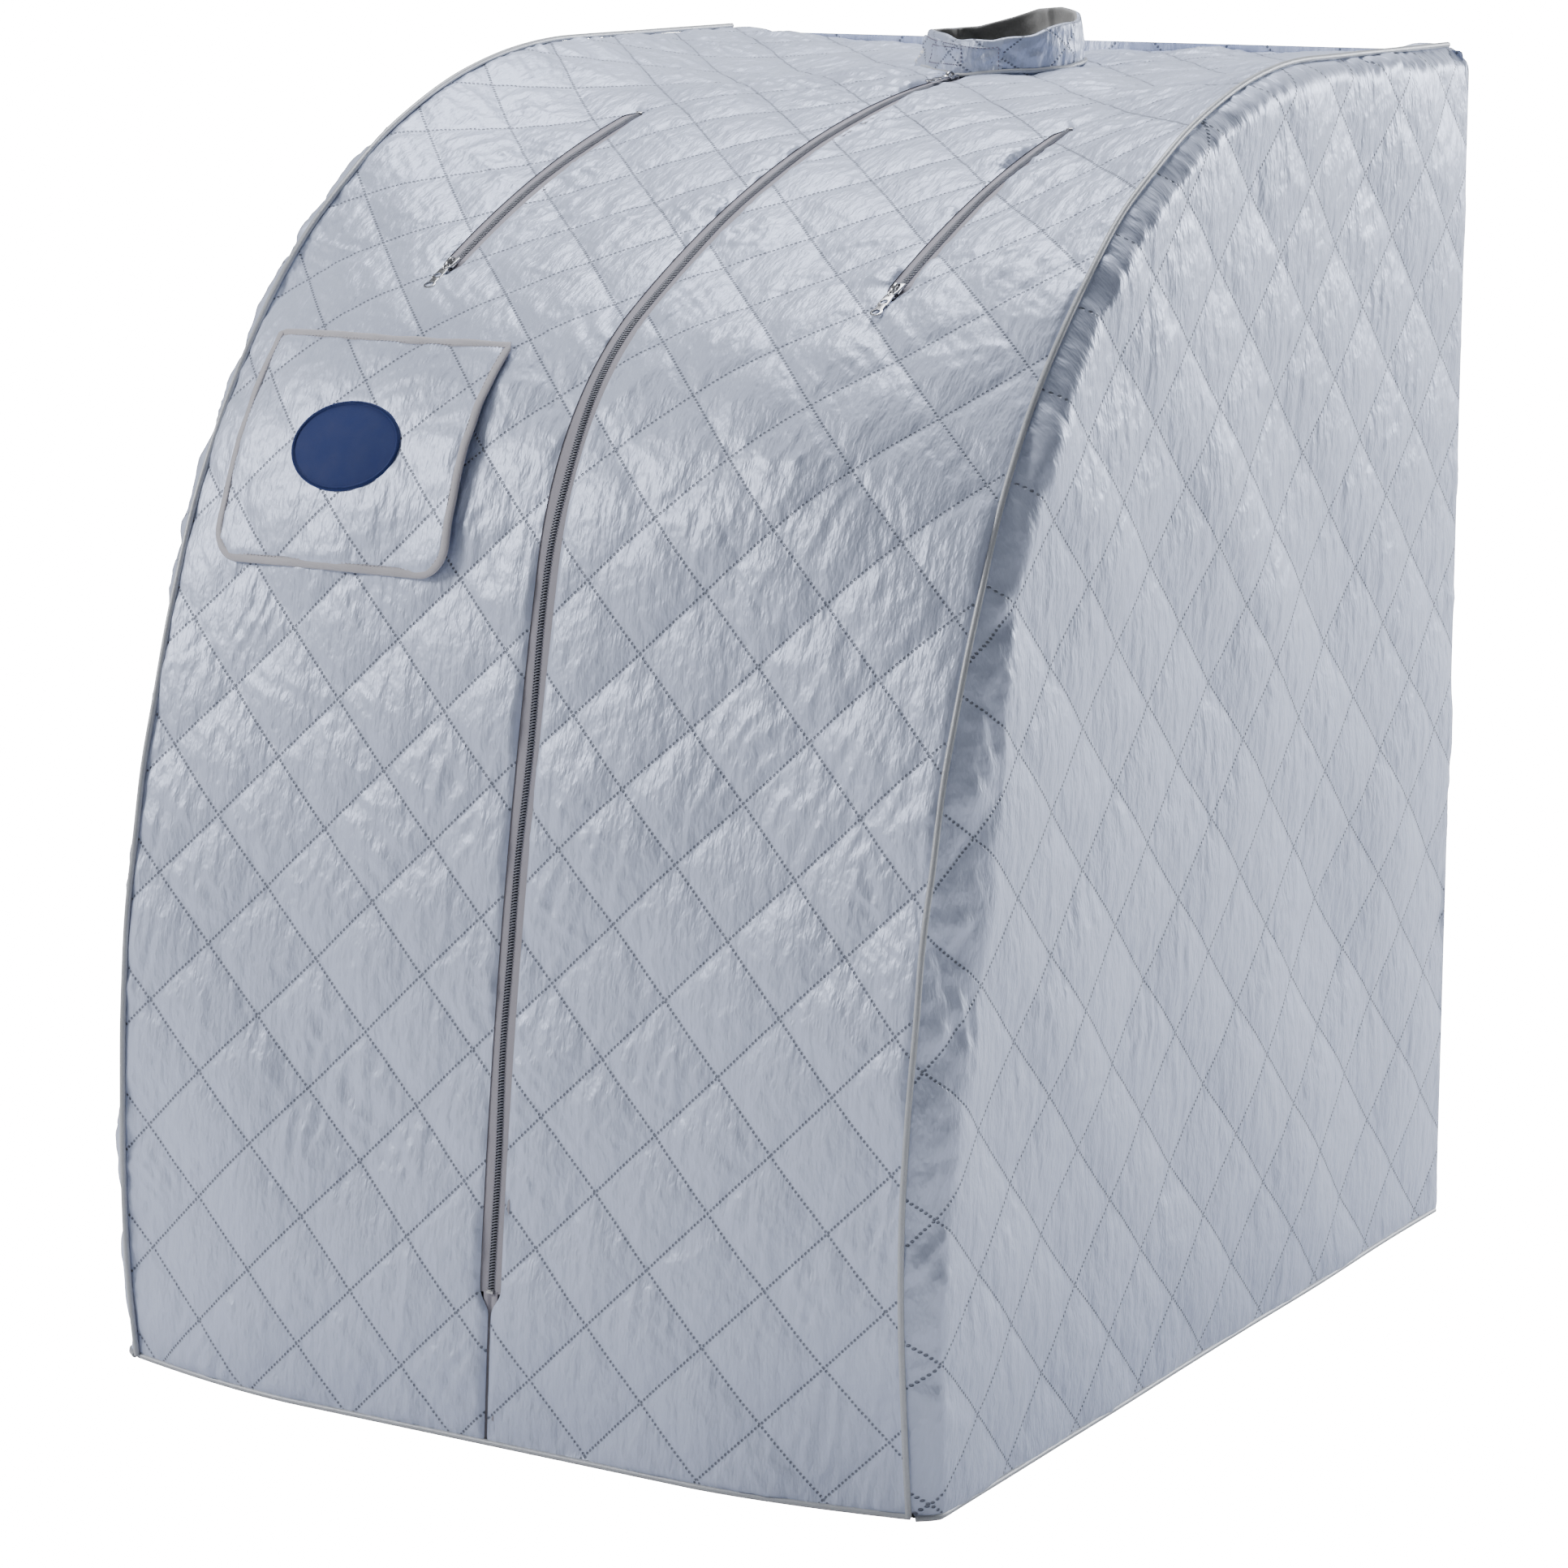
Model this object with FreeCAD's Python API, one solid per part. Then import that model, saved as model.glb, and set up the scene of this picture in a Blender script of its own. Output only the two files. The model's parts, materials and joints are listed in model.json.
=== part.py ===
"""Portable steam sauna: a quilted cabin over two folding side frames.

The cabin stands on Z = 0 with its origin at the middle of its footprint. +X is the
right-hand side of a person facing the front, and the front faces -Y.
All sizes are in millimetres.
"""
import FreeCAD, Part
import math
import os

V = FreeCAD.Vector

# Driving dimensions of the cabin
WIDTH = 700.0            # over the two side panels
DEPTH = 882.0            # from the foot of the front to the back panel
QUILT = 5.0              # thickness of the quilted cloth
FLOOR = 4.0              # thickness of the floor cloth
SEAM_GAP = 0.3           # room between cloth of the root and cloth of the left side
SHOULDER = 220.0         # half width of the roof's level middle band

BACK = DEPTH / 2
SIDE_IN = WIDTH / 2 - QUILT
START_Z = FLOOR + 1.0

# The roof line is a chain of tangent arcs: foot Y, lean from +Z in degrees,
# then (radius, turn) for each arc. A level or nearly level run leads to the back.
SIDE_LINE = (-416.0, -8.0, ((1120.0, 33.0), (560.0, 39.0), (560.0, 26.0)))
MID_LINE = (-BACK, 3.5, ((3675.0, 9.8), (259.0, 46.6), (1086.0, 26.2)))

# Zips
ARM_X = 190.0            # distance of each arm zip from the middle
ZIP_SLOT = 8.0           # half width of the slot that a zip closes
COIL_IN, COIL_OUT = 1.2, 3.4
MAIN_FOOT = 106.0        # length of the plain seam below the main zip
ARM_LOW_Y, ARM_HIGH_Y = -202.0, 68.0
MAIN_TOP_Y = 226.0

# Collar
NECK_Y = 309.0
NECK_R = 61.0            # radius of the neck opening
COLLAR_T = 6.0
COLLAR_TOP = 979.0
TAB_FROM, TAB_TO = -62.0, -152.0
TAB_T = 4.0
TAB_GAP = 0.5

# Pocket on the front, left of the main zip
POCKET_X = (-282.0, -78.0)
POCKET_FOOT, POCKET_HEAD = 620.0, 812.0    # distances up the front cloth
POCKET_R = 26.0
BINDING = 7.0
PATCH_X, PATCH_S = -196.0, 702.0
PATCH_A, PATCH_B = 49.0, 33.0

# Folding frame
TUBE_R, TUBE_BORE = 8.0, 7.0
ELBOW_R, ELBOW_LEG, SPIGOT = 10.0, 22.0, 18.0
FRAME_X = SIDE_IN - 11.0
RAIL_Z = 15.0
POST_Y = BACK - QUILT - 11.0
POST_FOOT_Y = -402.0
ARCH_INSET = 22.0        # from the side roof line to the middle of the roof tube
PIVOT_X = FRAME_X - 26.0
PIN_R, PIN_ROOM = 2.5, 0.05
LUG_T, LUG_R, LUG_GAP = 5.0, 7.0, 0.3
FORK_T = 4.7
CLAMP_R = 10.5
KNUCKLE_LEG, END_LEG = 40.0, 28.0
SPREADERS = {            # name: (Y, Z) of the bar
    "back_middle": (POST_Y, 480.0),
    "back_bottom": (POST_Y, 48.0),
    "back_top": (POST_Y, 860.0),
    "front_bottom": (-396.0, 48.0),
}

# Steam hose inlet in the left side panel
INLET_Y, INLET_Z = 300.0, 90.0
INLET_BORE, INLET_NECK, INLET_FLANGE = 13.0, 16.0, 24.0
FLANGE_T = 2.5
INLET_DEEP = 20.0

PIPING_R = 2.2
PIPING_ROOM = 0.3
CORD_TRIM = 4.0          # how far each run of cord stops short of a corner


def heading(angle):
    """Direction (y, z) along the roof line at an angle from +Z towards +Y."""
    a = math.radians(angle)
    return math.sin(a), math.cos(a)


def outward(angle):
    """Outward normal (y, z) of the roof line at that angle."""
    a = math.radians(angle)
    return -math.cos(a), math.sin(a)


class Chain:
    """A roof line: arcs that run on into each other, then a straight run to the back."""

    def __init__(self, line):
        foot, lean, arcs = line
        self.parts = []
        y, z, angle, s = foot, START_Z, lean, 0.0
        for radius, turn in arcs:
            ny, nz = outward(angle)
            centre = (y - radius * ny, z - radius * nz)
            length = radius * math.radians(turn)
            self.parts.append(("arc", s, s + length, centre, radius, angle, turn))
            angle += turn
            s += length
            ny, nz = outward(angle)
            y, z = centre[0] + radius * ny, centre[1] + radius * nz
        ty, tz = heading(angle)
        length = (BACK - y) / ty
        self.parts.append(("line", s, s + length, (y, z), 0.0, angle, 0.0))
        self.length = s + length

    def at(self, s, off=0.0):
        """Point (y, z) at distance s along the line, off outside it, and its angle."""
        for kind, s0, s1, base, radius, angle, turn in self.parts:
            if s <= s1 + 1e-9 or kind == "line":
                break
        if kind == "line":
            ty, tz = heading(angle)
            ny, nz = outward(angle)
            d = s - s0
            return base[0] + d * ty + off * ny, base[1] + d * tz + off * nz, angle
        a = angle + turn * (s - s0) / (s1 - s0)
        ny, nz = outward(a)
        return base[0] + (radius + off) * ny, base[1] + (radius + off) * nz, a

    def at_y(self, y):
        """Distance along the line where it reaches a given Y."""
        low, high = 0.0, self.length
        for _ in range(60):
            middle = (low + high) / 2
            if self.at(middle)[0] < y:
                low = middle
            else:
                high = middle
        return low

    def edges(self, s0, s1, off, x):
        """Edges of the line from s0 to s1 at an offset, in the plane of that X."""
        made = []
        for kind, a, b, _base, _radius, angle, _turn in self.parts:
            lo, hi = max(a, s0), min(b, s1)
            if hi - lo < 1e-6:
                continue
            p, q = (V(x, *self.at(s, off)[:2]) for s in (lo + 1e-9, hi))
            if kind == "line":
                if s1 > self.length - 1e-6:
                    q = V(x, BACK, p.z + (BACK - p.y) / math.tan(math.radians(angle)))
                made.append(Part.makeLine(p, q))
            else:
                m = V(x, *self.at((lo + hi) / 2, off)[:2])
                made.append(Part.Arc(p, m, q).toShape())
        return made

    def outline(self, s0, s1, off0, off1, x):
        """Closed wire round the strip between two offsets of the line."""
        low = self.edges(s0, s1, off0, x)
        high = self.edges(s0, s1, off1, x)
        start = Part.makeLine(low[0].Vertexes[0].Point, high[0].Vertexes[0].Point)
        end = Part.makeLine(low[-1].Vertexes[-1].Point, high[-1].Vertexes[-1].Point)
        return Part.Wire(Part.__sortEdges__(low + [end] + high + [start]))


MID = Chain(MID_LINE)
SIDE = Chain(SIDE_LINE)


def slab(s0, s1, off0, off1, x0, x1, chain=MID):
    """Strip of cloth that follows the roof line, from x0 to x1."""
    face = Part.Face(chain.outline(s0, s1, off0, off1, x0))
    return face.extrude(V(x1 - x0, 0, 0))


def box(x0, x1, y0, y1, z0, z1):
    return Part.makeBox(x1 - x0, y1 - y0, z1 - z0, V(x0, y0, z0))


def rod(radius, start, end):
    """Cylinder from one point to another."""
    along = end - start
    return Part.makeCylinder(radius, along.Length, start, along)


def pipe(start, end):
    """Frame tube with its bore, from one point to another."""
    return rod(TUBE_R, start, end).cut(rod(TUBE_BORE, start, end))


def mirrored(shape):
    return shape.mirror(V(0, 0, 0), V(1, 0, 0))


def group(shapes):
    return Part.makeCompound(shapes)


def save(name, shape):
    for solid in shape.Solids:
        if not solid.isValid():
            raise ValueError(f"{name} has a faulty solid")
    shape.exportStep(f"parts/{name}.step")
    b = shape.BoundBox
    print(f"{name:28s} {len(shape.Solids):3d} solids  x {b.XMin:7.1f} {b.XMax:7.1f}"
          f"  y {b.YMin:7.1f} {b.YMax:7.1f}  z {b.ZMin:7.1f} {b.ZMax:7.1f}")


# ---------------------------------------------------------------- quilted cloth

def neck_hole():
    return Part.makeCylinder(NECK_R, 200.0, V(0, NECK_Y, COLLAR_TOP - 150.0))


def front_cover(side, edge_x):
    """Front and roof cloth from the main zip to one side panel; side is +1 or -1."""
    middle = slab(0, MID.length, -QUILT, 0, side * ZIP_SLOT, side * SHOULDER)
    ramp = Part.makeLoft([
        MID.outline(0, MID.length, -QUILT, 0, side * SHOULDER),
        SIDE.outline(0, SIDE.length, -QUILT, 0, side * edge_x),
    ], True, True)
    arm = slab(MID.at_y(ARM_LOW_Y), MID.at_y(ARM_HIGH_Y), -2 * QUILT, QUILT,
               side * ARM_X - ZIP_SLOT, side * ARM_X + ZIP_SLOT)
    return middle.fuse(ramp).cut(arm).cut(neck_hole())


def front_gusset():
    """Plain seam below the main zip that joins the two halves of the front."""
    return slab(0, MAIN_FOOT, -QUILT, 0, -ZIP_SLOT, ZIP_SLOT)


def back_gusset():
    """Strip behind the collar that joins the two halves of the roof."""
    return slab(MID.at_y(NECK_Y), MID.length, -QUILT, 0, -ZIP_SLOT, ZIP_SLOT).cut(neck_hole())


def back_panel():
    """Flat back, its top edge just under the roof cloth."""
    left = -SIDE_IN + SEAM_GAP
    room = QUILT + 0.4
    z_mid = MID.at(MID.length)[1] - room
    z_side = SIDE.at(SIDE.length)[1] - room
    outline = [(left, START_Z), (SIDE_IN, START_Z), (SIDE_IN, z_side), (SHOULDER, z_mid),
               (-SHOULDER, z_mid), (left, z_side)]
    wire = Part.makePolygon([V(x, BACK - QUILT, z) for x, z in outline + outline[:1]])
    return Part.Face(wire).extrude(V(0, QUILT, 0))


def floor_panel():
    left = -SIDE_IN + SEAM_GAP
    foot = SIDE_LINE[0]
    outline = [(left, foot), (-SHOULDER, -BACK), (SHOULDER, -BACK), (SIDE_IN, foot),
               (SIDE_IN, BACK), (left, BACK)]
    wire = Part.makePolygon([V(x, y, 0) for x, y in outline + outline[:1]])
    return Part.Face(wire).extrude(V(0, 0, FLOOR))


def side_panel():
    """Right side panel: the roof line in elevation, down to the ground."""
    x = SIDE_IN
    edges = SIDE.edges(0, SIDE.length, 0, x)
    foot, top = V(x, SIDE_LINE[0], 0), edges[-1].Vertexes[-1].Point
    edges.insert(0, Part.makeLine(foot, edges[0].Vertexes[0].Point))
    edges.append(Part.makeLine(top, V(x, BACK, 0)))
    edges.append(Part.makeLine(V(x, BACK, 0), foot))
    return Part.Face(Part.Wire(Part.__sortEdges__(edges))).extrude(V(QUILT, 0, 0))


def round_cord(edges, start, direction):
    """Piping cord of round section swept along edges."""
    circle = Part.Wire(Part.makeCircle(PIPING_R, start, direction))
    return Part.Wire(Part.__sortEdges__(edges)).makePipeShell([circle], True, True)


def side_piping():
    """Piping of the right side: one cord over the roof line and one along the ground."""
    off = PIPING_R + PIPING_ROOM
    edges = SIDE.edges(0, SIDE.length, off, SIDE_IN)
    y, z, angle = SIDE.at(0, off)
    arch = round_cord(edges, V(SIDE_IN, y, z), V(0, *heading(angle)))
    x = WIDTH / 2 + off
    foot = rod(PIPING_R, V(x, SIDE_LINE[0], off), V(x, BACK, off))
    return group([arch, foot])


def base_piping():
    """Piping along the ground at the front and the back."""
    off = PIPING_R + PIPING_ROOM
    left = -SIDE_IN + SEAM_GAP
    runs = [
        ((left, SIDE_LINE[0]), (-SHOULDER, -BACK)),
        ((-SHOULDER, -BACK), (SHOULDER, -BACK)),
        ((SHOULDER, -BACK), (SIDE_IN, SIDE_LINE[0])),
        ((SIDE_IN, BACK), (left, BACK)),
    ]
    cords = []
    for (x0, y0), (x1, y1) in runs:
        along = V(x1 - x0, y1 - y0, 0).normalize()
        out = V(along.y, -along.x, 0) * off + V(0, 0, off)
        trim = along * CORD_TRIM
        cords.append(rod(PIPING_R, V(x0, y0, 0) + out + trim, V(x1, y1, 0) + out - trim))
    return group(cords)


# ---------------------------------------------------------------- zips

def zip_tapes(x, s0, s1):
    """Two cloth tapes, one each side of the teeth."""
    return group([slab(s0, s1, -3.0, -2.0, x + COIL_OUT, x + ZIP_SLOT),
                  slab(s0, s1, -3.0, -2.0, x - ZIP_SLOT, x - COIL_OUT)])


def zip_coils(x, s0, s1):
    """Two rows of coil teeth as plain strips."""
    return group([slab(s0, s1, -3.0, -0.6, x + COIL_IN, x + COIL_OUT),
                  slab(s0, s1, -3.0, -0.6, x - COIL_OUT, x - COIL_IN)])


def zip_stops(x, s0, s1):
    """End stops that cap the teeth at both ends of a zip."""
    return group([slab(s0 - 3.0, s0, -3.0, 0.0, x - 3.0, x + 3.0),
                  slab(s1, s1 + 3.0, -3.0, 0.0, x - 3.0, x + 3.0)])


def placed(shape, x, s):
    """Moves a shape made along the zip (X across, Y up the zip, Z outward) on to it."""
    y, z, angle = MID.at(s)
    shape = shape.copy()
    shape.rotate(V(0, 0, 0), V(1, 0, 0), 90.0 - angle)
    shape.translate(V(x, y, z))
    return shape


PULL_U, PULL_N = -3.0, 3.4
PULL_PIN_R, PULL_PIN_ROOM = 1.0, 0.1


def slider_body():
    """Slider: plates above and below the teeth, the post between them, and the bridge."""
    top = box(-4.0, 4.0, -6.0, 6.0, -0.2, 2.0)
    under = box(-4.0, 4.0, -6.0, 6.0, -5.2, -3.4)
    post = box(-0.9, 0.9, 2.0, 5.0, -3.4, -0.2)
    bridge = box(-1.0, 1.0, -5.2, 4.0, 2.0, 5.0)
    eye = rod(PULL_PIN_R + PULL_PIN_ROOM, V(-2, PULL_U, PULL_N), V(2, PULL_U, PULL_N))
    return top.fuse([under, post, bridge]).cut(eye).removeSplitter()


def slider_pull():
    """Pull tab: pin through the bridge, two arms and a tab with two round holes."""
    pin = rod(PULL_PIN_R, V(-2.6, PULL_U, PULL_N), V(2.6, PULL_U, PULL_N))
    arms = [box(x, x + 1.2, -12.0, -2.2, 2.6, 4.2) for x in (-2.6, 1.4)]
    neck = box(-2.6, 2.6, -14.0, -9.0, 1.0, 2.6)
    tab = box(-4.5, 4.5, -24.0, -12.0, 1.0, 2.6)
    tip = box(-3.2, 3.2, -36.0, -24.0, 1.0, 2.6)
    whole = pin.fuse(arms + [neck, tab, tip])
    for u, r in ((-19.0, 2.6), (-32.0, 1.8)):
        whole = whole.cut(rod(r, V(0, u, 0), V(0, u, 4)))
    return whole.removeSplitter()


# ---------------------------------------------------------------- collar and pocket

def above_roof(room):
    """Space above the roof cloth, used to trim what stands on it."""
    s = MID.at_y(NECK_Y - 120.0)
    return slab(s, MID.length, room, 120.0, -120.0, 120.0)


def ring(r0, r1, z0, z1):
    outer = Part.makeCylinder(r1, z1 - z0, V(0, NECK_Y, z0))
    return outer.cut(Part.makeCylinder(r0, z1 - z0, V(0, NECK_Y, z0)))


def collar_band():
    return ring(NECK_R, NECK_R + COLLAR_T, 880.0, COLLAR_TOP).common(above_roof(0.0))


def collar_tab():
    """Loose end of the collar that laps round its outside."""
    r0 = NECK_R + COLLAR_T + TAB_GAP
    z0 = MID.at(MID.at_y(NECK_Y - r0))[1] + 8.0
    wedge = Part.makeCylinder(r0 + TAB_T, COLLAR_TOP - 2.0 - z0, V(0, NECK_Y, z0),
                              V(0, 0, 1), TAB_FROM - TAB_TO)
    wedge = wedge.cut(Part.makeCylinder(r0, COLLAR_TOP - z0, V(0, NECK_Y, z0)))
    wedge.rotate(V(0, NECK_Y, 0), V(0, 0, 1), TAB_TO)
    return wedge


def pocket_prism(inset, depth=60.0):
    """Outline of the pocket, pushed straight through the front cloth."""
    x0, x1 = POCKET_X[0] + inset, POCKET_X[1] - inset
    half = (POCKET_HEAD - POCKET_FOOT) / 2 - inset
    block = Part.makeBox(x1 - x0, 2 * half, depth, V(x0, -half, -depth / 2))
    low = [e for e in block.Edges
           if abs(e.BoundBox.YMax + half) < 1e-6 and e.BoundBox.ZLength > depth / 2]
    block = block.makeFillet(POCKET_R - inset, low)
    return placed(block, 0.0, (POCKET_FOOT + POCKET_HEAD) / 2)


def pocket_layer(off0, off1):
    return slab(POCKET_FOOT - 10.0, POCKET_HEAD + 10.0, off0, off1, *POCKET_X)


def pocket_panel():
    return pocket_layer(0.8, 3.8).common(pocket_prism(BINDING))


def pocket_binding():
    frame = pocket_prism(0.0).cut(pocket_prism(BINDING))
    return pocket_layer(0.3, 4.3).common(frame)


def pocket_patch():
    """Plain oval patch sewn on the pocket."""
    oval = Part.Ellipse(V(0, 0, 0), PATCH_A, PATCH_B).toShape()
    prism = Part.Face(Part.Wire(oval)).extrude(V(0, 0, 40))
    prism = placed(prism, PATCH_X, PATCH_S)
    return slab(POCKET_FOOT, POCKET_HEAD, 4.1, 5.4, *POCKET_X).common(prism)


# ---------------------------------------------------------------- folding frame

def arch_start():
    """Where the front post meets the roof tube, as a distance along the side line."""
    return SIDE.parts[1][1]


def corner_points():
    """Corners of the right frame: front foot, arch joint, back top, back foot."""
    y, z, _angle = SIDE.at(arch_start(), -ARCH_INSET)
    top = SIDE.at(SIDE.length)[1] - ARCH_INSET
    return {
        "front_foot": V(FRAME_X, POST_FOOT_Y, RAIL_Z),
        "arch_joint": V(FRAME_X, y, z),
        "back_top": V(FRAME_X, POST_Y, top),
        "back_foot": V(FRAME_X, POST_Y, RAIL_Z),
    }


CORNERS = corner_points()


def leg(start, end):
    """Unit vector from one corner to another."""
    d = CORNERS[end] - CORNERS[start]
    return d.normalize()


def straight_tube(start, end):
    d = leg(start, end)
    return pipe(CORNERS[start] + d * ELBOW_LEG, CORNERS[end] - d * ELBOW_LEG)


def roof_edges():
    """Middle line of the roof tube: from the arch joint's leg to the back top's leg."""
    edges = SIDE.edges(arch_start() + ELBOW_LEG, SIDE.length, -ARCH_INSET, FRAME_X)
    last = edges[-1].Vertexes[0].Point
    edges[-1] = Part.makeLine(last, CORNERS["back_top"] - V(0, ELBOW_LEG, 0))
    return edges


def roof_tube():
    edges = roof_edges()
    path = Part.Wire(Part.__sortEdges__(edges))
    start = edges[0].Vertexes[0].Point
    along = edges[0].tangentAt(edges[0].FirstParameter)
    made = [path.makePipeShell([Part.Wire(Part.makeCircle(r, start, along))], True, True)
            for r in (TUBE_R, TUBE_BORE)]
    return made[0].cut(made[1])


def elbow(corner, directions):
    """Plastic corner: two sleeves that butt on the tubes, and a spigot up each bore."""
    point = CORNERS[corner]
    whole = Part.makeSphere(ELBOW_R, point)
    for d in directions:
        end = point + d * ELBOW_LEG
        whole = whole.fuse([rod(ELBOW_R, point, end),
                            rod(TUBE_BORE - 0.1, end, end + d * SPIGOT)])
    return whole


def elbows():
    start = roof_edges()[0].Vertexes[0].Point
    into_arch = start - CORNERS["arch_joint"]
    into_arch = into_arch * (1 - 0.4 / into_arch.Length)
    joint = Part.makeSphere(ELBOW_R, CORNERS["arch_joint"])
    joint = joint.fuse([
        rod(ELBOW_R, CORNERS["arch_joint"], CORNERS["arch_joint"] + into_arch),
        rod(ELBOW_R, CORNERS["arch_joint"],
            CORNERS["arch_joint"] + leg("arch_joint", "front_foot") * ELBOW_LEG),
    ])
    return group([
        elbow("front_foot", [leg("front_foot", "arch_joint"), V(0, 1, 0)]),
        joint,
        elbow("back_top", [V(0, -1, 0), V(0, 0, -1)]),
        elbow("back_foot", [V(0, 0, 1), V(0, -1, 0)]),
    ])


def post_middle(y, z):
    """Point of the post that carries a spreader: the back post, or the front one."""
    if y > 0:
        return V(FRAME_X, POST_Y, z), V(0, 0, 1)
    d = leg("front_foot", "arch_joint")
    base = CORNERS["front_foot"]
    return base + d * ((z - base.z) / d.z), d


def bracket(y, z):
    """Clamp on a post with two tongues and the pivot pin, inside the right frame."""
    centre, along = post_middle(y, z)
    half = FORK_T + LUG_T / 2 + LUG_GAP
    start, end = centre - along * half, centre + along * half
    whole = rod(CLAMP_R, start, end).cut(rod(TUBE_R, start, end))
    for side in (-1, 1):
        z0 = z + side * (LUG_T / 2 + LUG_GAP + FORK_T / 2)
        tongue = box(PIVOT_X, FRAME_X, y - LUG_R, y + LUG_R, z0 - FORK_T / 2, z0 + FORK_T / 2)
        tip = Part.makeCylinder(LUG_R, FORK_T, V(PIVOT_X, y, z0 - FORK_T / 2))
        whole = whole.fuse(tongue.fuse(tip).cut(rod(TUBE_R, start - along * 5, end + along * 5)))
    pin = rod(PIN_R, V(PIVOT_X, y, z - half - 2), V(PIVOT_X, y, z + half + 2))
    return whole.fuse(pin)


def lug(x_pin, y, z, x_tube):
    """Flat lug from a tube's end to its pin, with a running bore."""
    x0, x1 = sorted((x_pin, x_tube))
    plate = box(x0, x1, y - LUG_R, y + LUG_R, z - LUG_T / 2, z + LUG_T / 2)
    plate = plate.fuse(Part.makeCylinder(LUG_R, LUG_T, V(x_pin, y, z - LUG_T / 2)))
    return plate.cut(Part.makeCylinder(PIN_R + PIN_ROOM, LUG_T, V(x_pin, y, z - LUG_T / 2)))


def right_bar(y, z):
    """Half spreader from the right frame's pivot to the fork at the middle knuckle."""
    tube = rod(TUBE_R, V(KNUCKLE_LEG, y, z), V(PIVOT_X - END_LEG, y, z))
    whole = tube.fuse(lug(PIVOT_X, y, z, PIVOT_X - END_LEG))
    for side in (-1, 1):
        z0 = z + side * (LUG_T / 2 + LUG_GAP + FORK_T / 2) - FORK_T / 2
        plate = box(0, KNUCKLE_LEG, y - LUG_R, y + LUG_R, z0, z0 + FORK_T)
        whole = whole.fuse(plate.fuse(Part.makeCylinder(LUG_R, FORK_T, V(0, y, z0))))
    return whole.cut(rod(PIN_R, V(0, y, z - 9), V(0, y, z + 9)))


def knuckle_pin(y, z):
    """Headed pin at the middle knuckle."""
    half = LUG_T / 2 + LUG_GAP + FORK_T
    pin = rod(PIN_R, V(0, y, z - half), V(0, y, z + half))
    heads = [Part.makeCylinder(PIN_R + 1.5, 1.5, V(0, y, z0)) for z0 in (z - half - 1.5, z + half)]
    return pin.fuse(heads)


def left_bar(y, z):
    """Half spreader from the middle knuckle to the left frame's pivot."""
    tube = rod(TUBE_R, V(-KNUCKLE_LEG, y, z), V(-PIVOT_X + END_LEG, y, z))
    return tube.fuse([lug(0.0, y, z, -KNUCKLE_LEG), lug(-PIVOT_X, y, z, -PIVOT_X + END_LEG)])


def frame_ties():
    """Cloth loops that hold the cloth to the right frame."""
    back = [(V(FRAME_X, POST_Y, z), V(0, 0, 1)) for z in (160.0, 340.0, 640.0, 780.0)]
    rail = [(V(FRAME_X, y, RAIL_Z), V(0, 1, 0)) for y in (-250.0, 0.0, 250.0)]
    top = [(V(FRAME_X, y, CORNERS["back_top"].z), V(0, 1, 0)) for y in (200.0, 330.0)]
    d = leg("front_foot", "arch_joint")
    post = [(CORNERS["front_foot"] + d * s, d) for s in (160.0, 320.0, 480.0)]
    loops = []
    for point, along in back + rail + top + post:
        end = point + along * 24.0
        loops.append(rod(TUBE_R + 1.3, point, end).cut(rod(TUBE_R + 0.1, point, end)))
    return group(loops)


def steam_inlet():
    """Ring and neck that the steam hose pushes into, through the left side panel."""
    x_face = -WIDTH / 2
    flange = rod(INLET_FLANGE, V(x_face - FLANGE_T, INLET_Y, INLET_Z), V(x_face, INLET_Y, INLET_Z))
    neck = rod(INLET_NECK, V(x_face, INLET_Y, INLET_Z), V(x_face + INLET_DEEP, INLET_Y, INLET_Z))
    bore = rod(INLET_BORE, V(x_face - FLANGE_T, INLET_Y, INLET_Z),
               V(x_face + INLET_DEEP, INLET_Y, INLET_Z))
    return flange.fuse(neck).cut(bore)


def inlet_hole():
    return rod(INLET_NECK, V(-WIDTH / 2 - 1, INLET_Y, INLET_Z), V(-SIDE_IN + 1, INLET_Y, INLET_Z))


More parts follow.
